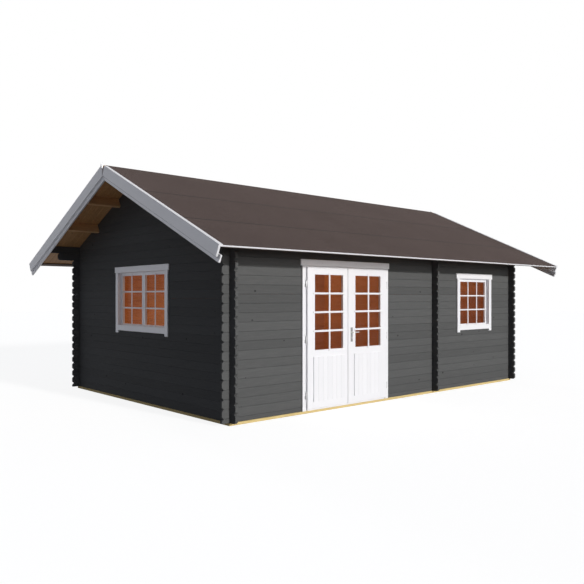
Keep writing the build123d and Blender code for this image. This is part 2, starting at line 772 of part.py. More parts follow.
front_low = BASE + LOG_PITCH * SILL_COURSES - LOG_PITCH / 2
gable_low = BASE + LOG_PITCH * SILL_COURSES
window("front", FRONT_WINDOW_HALF_WIDTH, front_low,
       [(-FRONT_WINDOW_HALF_WIDTH, FRONT_WINDOW_HALF_WIDTH)])
window("gable", GABLE_WINDOW_HALF_WIDTH, gable_low,
       [(-GABLE_WINDOW_HALF_WIDTH, -SASH_GAP / 2), (SASH_GAP / 2, GABLE_WINDOW_HALF_WIDTH)])
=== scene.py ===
# %% [markdown]
# A log cabin, dressed piece by piece. The solids of the cabin come from CAD, already in metres
# and in their places. This lesson gives them their wood, paint, felt and metal, and adds what is
# too fine for the solids: bevels, boards, glazing bars, screws.

# %% Load the cabin's solids
import math
import random

import bmesh
import bpy
from mathutils import Matrix, Vector


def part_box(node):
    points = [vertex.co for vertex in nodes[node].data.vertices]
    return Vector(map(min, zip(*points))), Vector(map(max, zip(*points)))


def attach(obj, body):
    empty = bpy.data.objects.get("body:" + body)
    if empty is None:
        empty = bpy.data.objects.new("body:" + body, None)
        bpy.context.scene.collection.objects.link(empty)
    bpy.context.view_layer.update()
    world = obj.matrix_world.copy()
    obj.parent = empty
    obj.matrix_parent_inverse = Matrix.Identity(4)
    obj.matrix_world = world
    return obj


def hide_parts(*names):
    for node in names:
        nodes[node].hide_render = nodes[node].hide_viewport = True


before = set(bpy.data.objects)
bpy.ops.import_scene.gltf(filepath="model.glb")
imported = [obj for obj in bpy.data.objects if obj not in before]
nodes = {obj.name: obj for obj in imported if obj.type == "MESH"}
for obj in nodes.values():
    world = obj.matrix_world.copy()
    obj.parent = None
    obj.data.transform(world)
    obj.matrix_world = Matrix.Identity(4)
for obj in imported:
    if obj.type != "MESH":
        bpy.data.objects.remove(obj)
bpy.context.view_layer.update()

# %% [markdown]
# The camera stands at eye height off the front left corner. It is level, so the log ends stay
# upright, and a small shift puts the horizon where it belongs. Solving for the place from a few
# corners is surer than turning a camera by hand.

# %% Camera
EYE = (-8.061, -8.714, 1.605)
LEVEL = 90.0
TURN = -41.64
scene = bpy.context.scene
camera_data = bpy.data.cameras.new("camera")
camera_data.sensor_width = 36.0
camera_data.lens = 39.83
camera_data.shift_x = 0.0017
camera_data.shift_y = 0.0076
camera_data.clip_end = 200.0
camera = bpy.data.objects.new("camera", camera_data)
camera.location = EYE
camera.rotation_euler = (math.radians(LEVEL), 0, math.radians(TURN))
scene.collection.objects.link(camera)
bpy.context.scene.camera = camera
print("camera", tuple(round(v, 2) for v in camera.location))

# %% [markdown]
# A key lamp shines on the front from a little above, so the eaves throw a band of shade on the
# wall and the gable stays dim. A soft fill lamp, as low as the door, lifts that band, and a low
# back lamp shows the logs behind. Area lamps would fall off along so large an object, so all three
# are sun lamps, which are as strong on the far corner as on the near one.

# %% Lamps
scene.view_settings.view_transform = "Standard"
LAMP_COLOR = (1.0, 0.985, 0.96)
LAMPS = (("key lamp", 2.40, 3.5, (0.10, -1.0, 0.26)), ("fill lamp", 1.00, 20.0, (0.10, -1.0, 0.03)),
         ("back lamp", 1.60, 5.0, (0.14, 1.0, 0.06)))
for name, energy, width, toward in LAMPS:
    lamp_data = bpy.data.lights.new(name, "SUN")
    lamp_data.energy = energy
    lamp_data.angle = math.radians(width)
    lamp_data.color = LAMP_COLOR
    lamp = bpy.data.objects.new(name, lamp_data)
    lamp.rotation_euler = Vector(toward).to_track_quat("Z", "Y").to_euler()
    scene.collection.objects.link(lamp)
    print(name, "strength", energy, "width", width)

# %% [markdown]
# The world is a pale blue sky that fills the shade. Where it is looked at, straight on or in glass
# and metal, it is plain white instead. The Light Path node tells the two apart, so a white
# background needs no extra light on the cabin.

# %% World
SKY_COLOR = (0.84, 0.92, 1.12, 1.0)
SKY_STRENGTH = 0.16
PURE_WHITE = (1.0, 1.0, 1.0, 1.0)


def seen_rays(tree):
    """One where a surface is seen, straight on or in metal and glass, else zero."""
    rays = tree.nodes.new("ShaderNodeLightPath")
    total = rays.outputs["Is Camera Ray"]
    for name in ("Is Glossy Ray", "Is Transmission Ray"):
        larger = tree.nodes.new("ShaderNodeMath")
        larger.operation = "MAXIMUM"
        tree.links.new(total, larger.inputs[0])
        tree.links.new(rays.outputs[name], larger.inputs[1])
        total = larger.outputs[0]
    return total


world = bpy.data.worlds.new("pale sky")
world.use_nodes = True
scene.world = world
sky = world.node_tree
background = sky.nodes["Background"]
background.inputs["Color"].default_value = SKY_COLOR
background.inputs["Strength"].default_value = SKY_STRENGTH
white = sky.nodes.new("ShaderNodeBackground")
white.inputs["Color"].default_value = PURE_WHITE
choose = sky.nodes.new("ShaderNodeMixShader")
sky.links.new(seen_rays(sky), choose.inputs["Fac"])
sky.links.new(background.outputs[0], choose.inputs[1])
sky.links.new(white.outputs[0], choose.inputs[2])
sky.links.new(choose.outputs[0], sky.nodes["World Output"].inputs["Surface"])
print("sky strength", SKY_STRENGTH)

# %% [markdown]
# The floor looks white to the camera but still takes the cabin's shadow. It is a pale grey sheet
# with a glow that is only seen, and lights nothing. A bright white floor would throw light up under
# the eaves instead, and wash out their shade.

# %% Floor
FLOOR_HALF = 60.0
FLOOR_DROP = 0.002
FLOOR_GREY = (0.30, 0.30, 0.30, 1.0)
FLOOR_GLOW = 0.88
corners = [(x * FLOOR_HALF, y * FLOOR_HALF, 0) for x, y in ((-1, -1), (1, -1), (1, 1), (-1, 1))]
floor_mesh = bpy.data.meshes.new("studio floor")
floor_mesh.from_pydata(corners, [], [(0, 1, 2, 3)])
studio_floor = bpy.data.objects.new("studio_floor", floor_mesh)
studio_floor.location.z = -FLOOR_DROP
scene.collection.objects.link(studio_floor)
floor_finish = bpy.data.materials.new("studio floor")
floor_finish.use_nodes = True
floor_tree = floor_finish.node_tree
floor_shader = floor_tree.nodes["Principled BSDF"]
floor_shader.inputs["Base Color"].default_value = FLOOR_GREY
floor_shader.inputs["Roughness"].default_value = 1.0
floor_shader.inputs["Specular IOR Level"].default_value = 0.0
glow = floor_tree.nodes.new("ShaderNodeEmission")
glow.inputs["Color"].default_value = PURE_WHITE
level = floor_tree.nodes.new("ShaderNodeMath")
level.operation = "MULTIPLY"
level.inputs[1].default_value = FLOOR_GLOW
added = floor_tree.nodes.new("ShaderNodeAddShader")
floor_tree.links.new(seen_rays(floor_tree), level.inputs[0])
floor_tree.links.new(level.outputs[0], glow.inputs["Strength"])
floor_tree.links.new(floor_shader.outputs[0], added.inputs[0])
floor_tree.links.new(glow.outputs[0], added.inputs[1])
floor_tree.links.new(added.outputs[0], floor_tree.nodes["Material Output"].inputs["Surface"])
floor_mesh.materials.append(floor_finish)
print("floor", 2 * FLOOR_HALF, "m wide")

# %% [markdown]
# Behind the panes the rooms are lit, and their bare pine glows. A wide lamp under the ridge of each
# room gives that glow. It hangs above the windows, so no pane shows the lamp itself.

# %% Room lamps
ROOM_LAMPS = (("main room lamp", -1.25, 3.2, 36.0), ("side room lamp", 2.1, 1.6, 26.0))
ROOM_LAMP_DEPTH = 2.6
ROOM_LAMP_HEIGHT = 2.72
ROOM_LAMP_COLOR = (1.0, 0.62, 0.38)
for name, x, width, power in ROOM_LAMPS:
    room_data = bpy.data.lights.new(name, "AREA")
    room_data.shape = "RECTANGLE"
    room_data.size = width
    room_data.size_y = ROOM_LAMP_DEPTH
    room_data.energy = power
    room_data.color = ROOM_LAMP_COLOR
    room_lamp = bpy.data.objects.new(name, room_data)
    room_lamp.location = (x, 0.0, ROOM_LAMP_HEIGHT)
    scene.collection.objects.link(room_lamp)
    print(name, power, "watts")

# %% [markdown]
# A finish is a small tree of nodes that ends in one shader. Every tree starts the same way: the
# place on the object, in metres, and a tone that each board or log carries as an attribute. A
# short helper that adds a node and fills its sockets keeps the trees readable.

# %% A helper for finishes
def feed(tree, socket, value):
    """Links a socket to another, or sets its value."""
    if isinstance(value, bpy.types.NodeSocket):
        tree.links.new(value, socket)
    else:
        socket.default_value = value


class Finish:
    """A material and the few steps that its tree is made of."""

    def __init__(self, name):
        self.material = bpy.data.materials.new(name)
        self.material.use_nodes = True
        self.tree = self.material.node_tree
        self.shader = self.tree.nodes["Principled BSDF"]
        self.place = self.add("TexCoord").outputs["Object"]

    def add(self, kind, settings=None, **sockets):
        """Adds a shader node. Sockets go by name, with _ for a space, or by number, as in_0."""
        made = self.tree.nodes.new("ShaderNode" + kind)
        for key, value in (settings or {}).items():
            setattr(made, key, value)
        for key, value in sockets.items():
            name = key.replace("_", " ")
            socket = made.inputs[int(name[3:])] if name.startswith("in ") else made.inputs[name]
            feed(self.tree, socket, value)
        return made

    def stretched(self, scale):
        """The place with each axis scaled, for a pattern that runs along the wood."""
        return self.add("Mapping", Vector=self.place, Scale=scale).outputs["Vector"]

    def noise(self, where, scale, detail=4.0, roughness=0.55):
        """A factor that changes softly from place to place."""
        made = self.add("TexNoise", Vector=where, Scale=scale, Detail=detail, Roughness=roughness)
        return made.outputs["Fac"]

    def range(self, value, low, high, to_low, to_high):
        """A factor moved from one range to another, and held there."""
        made = self.add("MapRange", in_0=value, in_1=low, in_2=high, in_3=to_low, in_4=to_high)
        return made.outputs[0]

    def math(self, operation, a, b=0.0):
        """One step of arithmetic on two factors."""
        return self.add("Math", {"operation": operation}, in_0=a, in_1=b).outputs[0]

    def blend(self, amount, a, b, how="MIX"):
        """Two colours mixed, the second by an amount."""
        made = self.add("Mix", {"data_type": "RGBA", "blend_type": how}, in_0=amount, in_6=a, in_7=b)
        return made.outputs[2]

    def tone(self, share):
        """A factor around one from the board's own tone."""
        own = self.add("Attribute", {"attribute_name": "tone"}).outputs["Fac"]
        return self.range(own, 0.0, 1.0, 1.0 - share, 1.0 + share)

    def times(self, color, factor):
        """A colour made lighter or darker by a factor."""
        grey = self.add("CombineColor", Red=factor, Green=factor, Blue=factor).outputs[0]
        return self.blend(1.0, color, grey, "MULTIPLY")

    def bump(self, height, distance, strength):
        """Makes the surface look uneven by a height, without changing the mesh."""
        made = self.add("Bump", Height=height, Distance=distance, Strength=strength)
        feed(self.tree, self.shader.inputs["Normal"], made.outputs["Normal"])

    def surface(self, **sockets):
        """Fills the shader's sockets and returns the finished material."""
        for key, value in sockets.items():
            feed(self.tree, self.shader.inputs[key.replace("_", " ")], value)
        return self.material


print("helper for finishes: Finish")

# %% [markdown]
# Pine shows darker lines along the board and a knot here and there. The lines are noise that is
# squeezed across the grain and drawn out along it. The knots are the middles of some cells of a
# flat Voronoi pattern, since a plane cut through a solid one would hardly meet any. The same tree
# serves every direction: only the axes change.

# %% Grain and knots
GRAIN_SQUEEZE = 14.0
BROAD_LINES = (5.0, 6.0, 0.62)
FINE_LINES = (42.0, 3.0, 0.5)
KNOT_OVAL = 0.7
KNOT_RARITY = 0.25
KNOT_RIM = (-0.012, 0.004)
KNOT_STRENGTH = 0.8


def grain_scale(along):
    """How a pattern is stretched: slow along one axis, quick across the others."""
    return tuple(1.0 if axis == along else GRAIN_SQUEEZE for axis in "xyz")


def grain(finish, along):
    """Two factors along the wood: its broad lines and its fine ones."""
    where = finish.stretched(grain_scale(along))
    return finish.noise(where, *BROAD_LINES), finish.noise(where, *FINE_LINES)


def knots(finish, along, across, scale, reach):
    """A factor that is high on a few oval knots, each of its own size up to a reach."""
    axes = finish.add("SeparateXYZ", Vector=finish.place)
    drawn_out = finish.math("MULTIPLY", axes.outputs[along.upper()], KNOT_OVAL)
    flat = finish.add("CombineXYZ", X=drawn_out, Y=axes.outputs[across.upper()]).outputs[0]
    cells = finish.add("TexVoronoi", {"voronoi_dimensions": "2D"}, Vector=flat, Scale=scale)
    chance = finish.add("SeparateColor", Color=cells.outputs["Color"]).outputs["Red"]
    size = finish.range(chance, KNOT_RARITY, 1.0, 0.0, 1.0)
    edge = finish.math("SUBTRACT", cells.outputs["Distance"], finish.math("MULTIPLY", size, reach))
    knot = finish.range(edge, *KNOT_RIM, 1.0, 0.0)
    return finish.math("MULTIPLY", knot, KNOT_STRENGTH)


print("grain along x", grain_scale("x"))

# %% [markdown]
# The cabin has four bare woods: pine for the boards, planed pine for the purlins, lighter than the
# boards as painted light from below, pale treated wood for the bearers and a near-black wood at the
# eave, whose darkness is painted shade. They differ only in colour, direction and gloss, so one
# function makes them all.

# %% Bare woods
BOARD_KNOTS = (3.2, 0.036)


def bare_wood(name, along, across, light, dark, knot_color, rough):
    """Unpainted wood that runs along one axis, with knots drawn on the face across it."""
    finish = Finish(name)
    lines, fine = grain(finish, along)
    both = finish.math("ADD", lines, finish.math("MULTIPLY", fine, 0.35))
    color = finish.blend(finish.range(both, 0.45, 0.9, 0.0, 1.0), light, dark)
    color = finish.blend(knots(finish, along, across, *BOARD_KNOTS), color, knot_color)
    color = finish.times(color, finish.tone(0.10))
    finish.bump(finish.math("ADD", lines, fine), 0.0012, 0.35)
    return finish.surface(Base_Color=color, Roughness=rough)


PINE_LIGHT = (0.66, 0.37, 0.155, 1.0)
PINE_DARK = (0.47, 0.225, 0.080, 1.0)
PINE_KNOT = (0.22, 0.085, 0.030, 1.0)
TREATED_LIGHT = (0.74, 0.58, 0.26, 1.0)
TREATED_DARK = (0.55, 0.40, 0.16, 1.0)
TREATED_KNOT = (0.30, 0.19, 0.07, 1.0)
# the purlins' pine is lighter than the boards' pine: painted light, for the bounce that lights them from
# below
PLANED_LIT_LIGHT = (0.90, 0.57, 0.29, 1.0)
PLANED_LIT_DARK = (0.74, 0.43, 0.20, 1.0)
# the eave batten's near-black colours are painted shade, which keeps the eave's underside dark
BATTEN_SHADE_LIGHT = (0.075, 0.042, 0.026, 1.0)
BATTEN_SHADE_DARK = (0.045, 0.025, 0.016, 1.0)
BATTEN_SHADE_KNOT = (0.02, 0.011, 0.008, 1.0)
pine_x = bare_wood("pine along the cabin", "x", "y", PINE_LIGHT, PINE_DARK, PINE_KNOT, 0.55)
pine_y = bare_wood("pine across the cabin", "y", "x", PINE_LIGHT, PINE_DARK, PINE_KNOT, 0.55)
treated_x = bare_wood("treated bearers", "x", "z", TREATED_LIGHT, TREATED_DARK, TREATED_KNOT, 0.7)
planed_pine_lit = bare_wood("planed purlins, painted light", "x", "z", PLANED_LIT_LIGHT, PLANED_LIT_DARK, PINE_KNOT, 0.5)
batten_painted_shade = bare_wood("stained eave batten", "x", "y", BATTEN_SHADE_LIGHT, BATTEN_SHADE_DARK, BATTEN_SHADE_KNOT, 0.7)
print("bare woods", [wood.name for wood in (pine_x, pine_y, treated_x, planed_pine_lit, batten_painted_shade)])

# %% [markdown]
# The logs are painted outside and bare inside. One finish does both: it looks at where a point
# lies, and paints what is outside the room's walls or in the log ends that cross them. The paint
# lets the grain and a few knots show faintly, and each log takes it a little differently.

# %% Painted logs
WALL_X = 3.315
WALL_Y = 2.235
PAINT_DEPTH = 0.02
LOG_KNOTS = (2.5, 0.040)
ROOM_LIGHT = (0.61, 0.30, 0.105, 1.0)
ROOM_DARK = (0.43, 0.18, 0.055, 1.0)
GREY_PAINT = (0.097, 0.0985, 0.099, 1.0)
GREY_WORN = (0.119, 0.120, 0.120, 1.0)
GREY_KNOT = (0.026, 0.026, 0.027, 1.0)


def painted_logs(name, along):
    """Grey paint outside the walls and bare wood inside, on logs along one axis."""
    finish = Finish(name)
    axes = finish.add("SeparateXYZ", Vector=finish.place)
    past = [finish.math("SUBTRACT", finish.math("ABSOLUTE", axes.outputs[axis]), wall - PAINT_DEPTH)
            for axis, wall in (("X", WALL_X), ("Y", WALL_Y))]
    outside = finish.math("GREATER_THAN", finish.math("MAXIMUM", *past), 0.0)
    lines, fine = grain(finish, along)
    knot = knots(finish, along, "z", *LOG_KNOTS)
    paint = finish.blend(finish.range(lines, 0.45, 0.75, 0.0, 0.7), GREY_PAINT, GREY_WORN)
    paint = finish.blend(knot, paint, GREY_KNOT)
    bare = finish.blend(finish.range(lines, 0.4, 0.75, 0.0, 1.0), ROOM_LIGHT, ROOM_DARK)
    bare = finish.blend(knot, bare, PINE_KNOT)
    color = finish.times(finish.blend(outside, bare, paint), finish.tone(0.09))
    finish.bump(finish.math("ADD", lines, finish.math("MULTIPLY", fine, 0.7)), 0.0015, 0.4)
    rough = finish.range(fine, 0.3, 0.7, 0.55, 0.72)
    return finish.surface(Base_Color=color, Roughness=rough, Specular_IOR_Level=0.04)


log_finish = {"x": painted_logs("painted logs of the long walls", "x"),
              "y": painted_logs("painted logs of the gables", "y")}
print("log finishes", [m.name for m in log_finish.values()])

# %% [markdown]
# The door, the windows and the boards at the roof's edge are painted white, with a gloss that
# mirrors the bright surroundings. White paint is never quite one white: soft patches, the grain of
# the wood below and a greyer tone in some boards keep it from looking like plastic.

# %% White paint
WHITE_FRESH = (0.825, 0.82, 0.835, 1.0)
WHITE_GRAIN = (0.785, 0.78, 0.79, 1.0)
WHITE_PATCH = (0.77, 0.773, 0.785, 1.0)
# the colour of the painted shade: a dark line on the strips below the bargeboards' edge
PAINTED_LIP_SHADE_COLOR = (0.16, 0.16, 0.17, 1.0)
GLOSS_TINT = (0.88, 0.90, 1.0, 1.0)
PAINT_LINES = (7.0, 5.0, 0.6)
PAINT_PATCHES = (1.7, 3.0, 0.5)


def white_paint(name, along, lip=None):
    """White paint for boards along one axis; lip gives a factor for painted shade under an edge."""
    finish = Finish(name)
    lines = finish.noise(finish.stretched(grain_scale(along)), *PAINT_LINES)
    patches = finish.noise(finish.place, *PAINT_PATCHES)
    color = finish.blend(finish.range(lines, 0.4, 0.8, 0.0, 0.6), WHITE_FRESH, WHITE_GRAIN)
    color = finish.blend(finish.range(patches, 0.5, 0.8, 0.0, 0.35), color, WHITE_PATCH)
    color = finish.times(color, finish.tone(0.02))
    if lip:
        # painted shade below the edge of the bargeboard, where the lip gives its factor
        color = finish.blend(lip(finish), color, PAINTED_LIP_SHADE_COLOR)
    finish.bump(lines, 0.0006, 0.3)
    return finish.surface(Base_Color=color, Roughness=finish.range(lines, 0.3, 0.7, 0.36, 0.5),
                          IOR=1.8, Specular_IOR_Level=1.0, Specular_Tint=GLOSS_TINT)


white_x = white_paint("white paint, boards along the cabin", "x")
white_y = white_paint("white paint, boards across the cabin", "y")
white_z = white_paint("white paint, upright boards", "z")
print("white paints", white_x.name, white_y.name, white_z.name)

# %% [markdown]
# Roofing felt is strewn with crushed slate. From near it is a crowd of light and dark grains, and
# from afar a dull brown grey with faint cloudy patches. The cells of a Voronoi pattern are the
# grains, each with a shade of its own, which no plain noise would give.

# %% Roofing felt
FELT_DARK = (0.054, 0.038, 0.034, 1.0)
FELT_LIGHT = (0.142, 0.107, 0.097, 1.0)
TAR_DARK = (0.010, 0.009, 0.009, 1.0)
TAR_LIGHT = (0.030, 0.027, 0.026, 1.0)
SLATE_GRAINS = 260.0
FELT_CLOUDS = (1.1, 4.0, 0.6)
TAR_PATCHES = 35.0
felt = Finish("slate grained felt")
grains = felt.add("TexVoronoi", Vector=felt.place, Scale=SLATE_GRAINS).outputs["Color"]
speck = felt.add("SeparateColor", Color=grains).outputs["Red"]
clouds = felt.noise(felt.place, *FELT_CLOUDS)
felt_color = felt.blend(speck, FELT_DARK, FELT_LIGHT)
felt_color = felt.times(felt_color, felt.range(clouds, 0.3, 0.7, 0.92, 1.08))
felt_color = felt.times(felt_color, felt.tone(0.05))
felt.bump(speck, 0.0015, 0.5)
felt_finish = felt.surface(Base_Color=felt_color, Roughness=0.95, Specular_IOR_Level=0.15)
tar = Finish("tar at the laps")
tar_color = tar.blend(tar.noise(tar.place, TAR_PATCHES), TAR_DARK, TAR_LIGHT)
tar_finish = tar.surface(Base_Color=tar_color, Roughness=0.7, Specular_IOR_Level=0.2)
print("felt", felt_finish.name, tar_finish.name)

# %% [markdown]
# Clear glass is mostly a hole with a gloss on it. A low alpha lets lamp light into the rooms,
# which a refracting shader would shade, so the pine inside glows as it does behind real panes.

# %% Clear glass
GLASS_TINT = (0.02, 0.024, 0.024, 1.0)
GLASS_RIPPLE = (1.3, 2.0, 0.4)
glass = Finish("clear glass")
ripple = glass.noise(glass.place, *GLASS_RIPPLE)
glass.bump(ripple, 0.004, 0.05)
glass_finish = glass.surface(Base_Color=GLASS_TINT, Roughness=0.03, Alpha=0.09, IOR=1.5,
                             Specular_IOR_Level=0.7)
print("glass", glass_finish.name)

# %% [markdown]
# The hinges are zinc plated, the lever is satin steel and its plates are duller. All are brushed:
# very fine lines, drawn out level, roughen the gloss. Noise that is stretched on one axis gives
# those lines without a picture of metal.

# %% Metals
ZINC = (0.50, 0.50, 0.51, 1.0)
SATIN_STEEL = (0.66, 0.65, 0.63, 1.0)
DULL_STEEL = (0.24, 0.24, 0.24, 1.0)
KEYHOLE_DARK = (0.01, 0.01, 0.01, 1.0)
KEYHOLE_LIGHT = (0.03, 0.03, 0.03, 1.0)
GLOSS_SPREAD = 0.12
BRUSH_STRETCH = (60.0, 60.0, 900.0)
BRUSH_LINES = (6.0, 3.0, 0.5)
DULL_PATCHES = (30.0, 3.0, 0.5)
KEYHOLE_PATCHES = 90.0


def brushed_metal(name, color, rough):
    """A metal whose gloss varies along fine level lines."""
    metal = Finish(name)
    brush = metal.noise(metal.stretched(BRUSH_STRETCH), *BRUSH_LINES)
    dull = metal.noise(metal.place, *DULL_PATCHES)
    shade = metal.times(color, metal.range(dull, 0.3, 0.7, 0.9, 1.08))
    metal.bump(brush, 0.0002, 0.2)
    gloss = metal.range(brush, 0.3, 0.7, rough, rough + GLOSS_SPREAD)
    return metal.surface(Base_Color=shade, Metallic=1.0, Roughness=gloss)


hinge_finish = brushed_metal("zinc plated hinge", ZINC, 0.34)
handle_finish = brushed_metal("satin handle", SATIN_STEEL, 0.26)
plate_finish = brushed_metal("dull plate", DULL_STEEL, 0.38)
dark = Finish("keyhole shade")
dark_color = dark.blend(dark.noise(dark.place, KEYHOLE_PATCHES), KEYHOLE_DARK, KEYHOLE_LIGHT)
dark_finish = dark.surface(Base_Color=dark_color, Roughness=0.8)
print("metals", hinge_finish.name, handle_finish.name, plate_finish.name, dark_finish.name)

# %% [markdown]
# No two boards take paint or stain alike. Each separate board or log in a mesh gets one tone, drawn
# from a fixed seed, and the finishes read it as an attribute. The boards are found by walking from
# face to face over shared edges. An object for each board would do as well, but a wall is easier
# to handle as one mesh.

# %% A tone for each board
def islands(bm):
    """The separate pieces of a mesh, each a list of faces."""
    left = set(bm.faces)
    found = []
    for first in bm.faces:
        if first not in left:
            continue
        left.discard(first)
        group = [first]
        for face in group:
            for edge in face.edges:
                for other in edge.link_faces:
                    if other in left:
                        left.discard(other)
                        group.append(other)
        found.append(group)
    return found


def set_tones(mesh, seed):
    """Gives each separate piece of a mesh one random tone."""
    bm = bmesh.new()
    bm.from_mesh(mesh)
    layer = bm.verts.layers.float.new("tone")
    chance = random.Random(seed)
    groups = islands(bm)
    for group in groups:
        value = chance.random()
        for face in group:
            for vert in face.verts:
                vert[layer] = value
    bm.to_mesh(mesh)
    bm.free()
    return len(groups)


print("helpers for tones: islands, set_tones")

# %% [markdown]
# Every piece is put in place in the same way. One short function keeps these steps together, so
# that none of them is forgotten.

# %% Putting a piece on its body
def show(mesh, name, finish, body, replaced=()):
    """Puts a finished mesh on its body."""
    mesh.materials.clear()
    mesh.materials.append(finish)
    piece = bpy.data.objects.new(name, mesh)
    scene.collection.objects.link(piece)
    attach(piece, body)
    if replaced:
        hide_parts(*replaced)
    return piece


def mesh_from(bm, name):
    """Turns a bmesh into a named mesh and frees it."""
    mesh = bpy.data.meshes.new(name)
    bm.to_mesh(mesh)
    bm.free()
    return mesh


print("helpers for pieces: show, mesh_from")

# %% [markdown]
# Sawn wood has no knife edges. Each painted board and log is a copy of its solid with the sharp
# outer edges cut off by a bevel. The copy is merged first, because a CAD mesh is loose triangles,
# and flat neighbours are joined, so that the bevel meets only true edges. The seed of the tones
# comes from the length of the node's name, so it stays the same in every run.

# %% Bevelled copies of the solids
MERGE_DISTANCE = 0.00002
FLAT_ANGLE = math.radians(1)
SHARP_ANGLE = math.radians(30)
LEAST_WIDTHS = 3
SEED_STEP = 7
SEED_START = 3


def bevelled(node, width, finish, body, sharp=SHARP_ANGLE, segments=1):
    """A copy of a node whose outer edges are bevelled; it stands for the node."""
    bm = bmesh.new()
    bm.from_mesh(nodes[node].data)
    bmesh.ops.remove_doubles(bm, verts=bm.verts, dist=MERGE_DISTANCE)
    bmesh.ops.dissolve_limit(bm, angle_limit=FLAT_ANGLE, verts=bm.verts, edges=bm.edges)
    edges = [e for e in bm.edges if len(e.link_faces) == 2 and e.is_convex
             and e.calc_length() > LEAST_WIDTHS * width and e.calc_face_angle() > sharp]
    bmesh.ops.bevel(bm, geom=edges, offset=width, segments=segments, profile=0.5, affect="EDGES",
                    clamp_overlap=True)
    mesh = mesh_from(bm, node + "_finished")
    count = set_tones(mesh, len(node) * SEED_STEP + SEED_START)
    show(mesh, node + "_finished", finish, body, (node,))
    return count


print("edges sharper than", round(math.degrees(SHARP_ANGLE)), "degrees are bevelled")

# %% [markdown]
# Where two logs meet, their bevelled edges form the V joint that draws a fine line along every
# course. Building each log with that bevel costs little, and the lines are then right at the
# corners and in every light, which painted lines would not be.

# %% Logs
LOG_BEVEL = 0.0045
for node, along in (("front_wall_left_logs", "x"), ("front_wall_right_logs", "x"),
                    ("front_wall_top_logs", "x"), ("back_wall_logs", "x"),
                    ("left_gable_logs", "y"), ("right_gable_logs", "y"), ("partition_logs", "y")):
    print(node, bevelled(node, LOG_BEVEL, log_finish[along], "building"), "logs")

# %% [markdown]
# What repeats on the cabin is made with Geometry Nodes. A tree is built once, with named inputs for
# its sizes. To use it, a maker object carries it as a modifier for a moment, and the result is kept
# as a plain mesh, so that no piece depends on a modifier afterwards.

# %% Building and running a tree
def new_tree(name, inputs, output):
    """An empty tree with named inputs; returns it with the identifier of each input."""
    tree = bpy.data.node_groups.new(name, "GeometryNodeTree")
    identifiers = {}
    for label, kind in inputs:
        socket = tree.interface.new_socket(label, in_out="INPUT", socket_type="NodeSocket" + kind)
        identifiers[label] = socket.identifier
    tree.interface.new_socket(output, in_out="OUTPUT", socket_type="NodeSocketGeometry")
    return tree, identifiers


def grown(mesh, tree, identifiers, values):
    """Runs a tree on a mesh, with values for its named inputs; returns a plain mesh."""
    maker = bpy.data.objects.new("maker", mesh)
    scene.collection.objects.link(maker)
    modifier = maker.modifiers.new("rule", "NODES")
    modifier.node_group = tree
    for label, value in values.items():
        modifier[identifiers[label]] = value
    evaluated = maker.evaluated_get(bpy.context.evaluated_depsgraph_get())
    result = bpy.data.meshes.new_from_object(evaluated)
    maker.modifiers.remove(modifier)
    bpy.data.objects.remove(maker)
    return result


print("helpers for trees: new_tree, grown")

# %% [markdown]
# A row of like boards is one board, a line of points and an instance on each. The count, the step
# and the finish are inputs, so the same tree lays the roof boards, the floor, the grooved boards of
# the door and the screws. Each copy stores its own tone. An Array modifier would repeat a board
# too, but could not give each copy a tone.

# %% A tree for rows
def make_row_tree():
    """A tree that repeats a piece along a line of points."""
    inputs = (("Piece", "Geometry"), ("Count", "Int"), ("Step", "Vector"), ("Seed", "Int"),
              ("Finish", "Material"))
    tree, identifiers = new_tree("row of copies", inputs, "Row")
    start = tree.nodes.new("NodeGroupInput")
    end = tree.nodes.new("NodeGroupOutput")
    line = tree.nodes.new("GeometryNodeMeshLine")
    line.mode = "OFFSET"
    copies = tree.nodes.new("GeometryNodeInstanceOnPoints")
    chance = tree.nodes.new("FunctionNodeRandomValue")
    store = tree.nodes.new("GeometryNodeStoreNamedAttribute")
    store.domain = "INSTANCE"
    store.inputs["Name"].default_value = "tone"
    real = tree.nodes.new("GeometryNodeRealizeInstances")
    finish = tree.nodes.new("GeometryNodeSetMaterial")
    link = tree.links.new
    link(start.outputs["Count"], line.inputs["Count"])
    link(start.outputs["Step"], line.inputs["Offset"])
    link(line.outputs["Mesh"], copies.inputs["Points"])
    link(start.outputs["Piece"], copies.inputs["Instance"])
    link(start.outputs["Seed"], chance.inputs["Seed"])
    link(copies.outputs["Instances"], store.inputs["Geometry"])
    value = [s for s in chance.outputs if s.enabled][0]
    link(value, [s for s in store.inputs if s.name == "Value" and s.enabled][0])
    link(store.outputs["Geometry"], real.inputs["Geometry"])
    link(real.outputs["Geometry"], finish.inputs["Geometry"])
    link(start.outputs["Finish"], finish.inputs["Material"])
    link(finish.outputs["Geometry"], end.inputs["Row"])
    return tree, identifiers


ROW_TREE, ROW_INPUTS = make_row_tree()


def row(mesh, count, step, seed, finish):
    """Copies of a mesh, one step apart, as one mesh."""
    values = {"Count": count, "Step": step, "Seed": seed, "Finish": finish}
    return grown(mesh, ROW_TREE, ROW_INPUTS, values)


print("row tree inputs", list(ROW_INPUTS))

# %% [markdown]
# A board is a section drawn from one end to the other. Giving both ends as lists of corners lets
# one helper make a floorboard, a roof board cut upright at the ridge and a strip of felt.

# %% A board between two ends
def drawn(name, first, last):
    """A closed mesh between two outlines with the same number of corners."""
    bm = bmesh.new()
    a = [bm.verts.new(p) for p in first]
    b = [bm.verts.new(p) for p in last]
    count = len(a)
    bm.faces.new(a)
    bm.faces.new(list(reversed(b)))
    for i in range(count):
        j = (i + 1) % count
        bm.faces.new((a[i], b[i], b[j], a[j]))
    bmesh.ops.recalc_face_normals(bm, faces=bm.faces)
    return mesh_from(bm, name)


def merged(name, meshes):
    """One mesh that holds several; the parts are not joined to each other."""
    bm = bmesh.new()
    for mesh in meshes:
        bm.from_mesh(mesh)
    return mesh_from(bm, name)


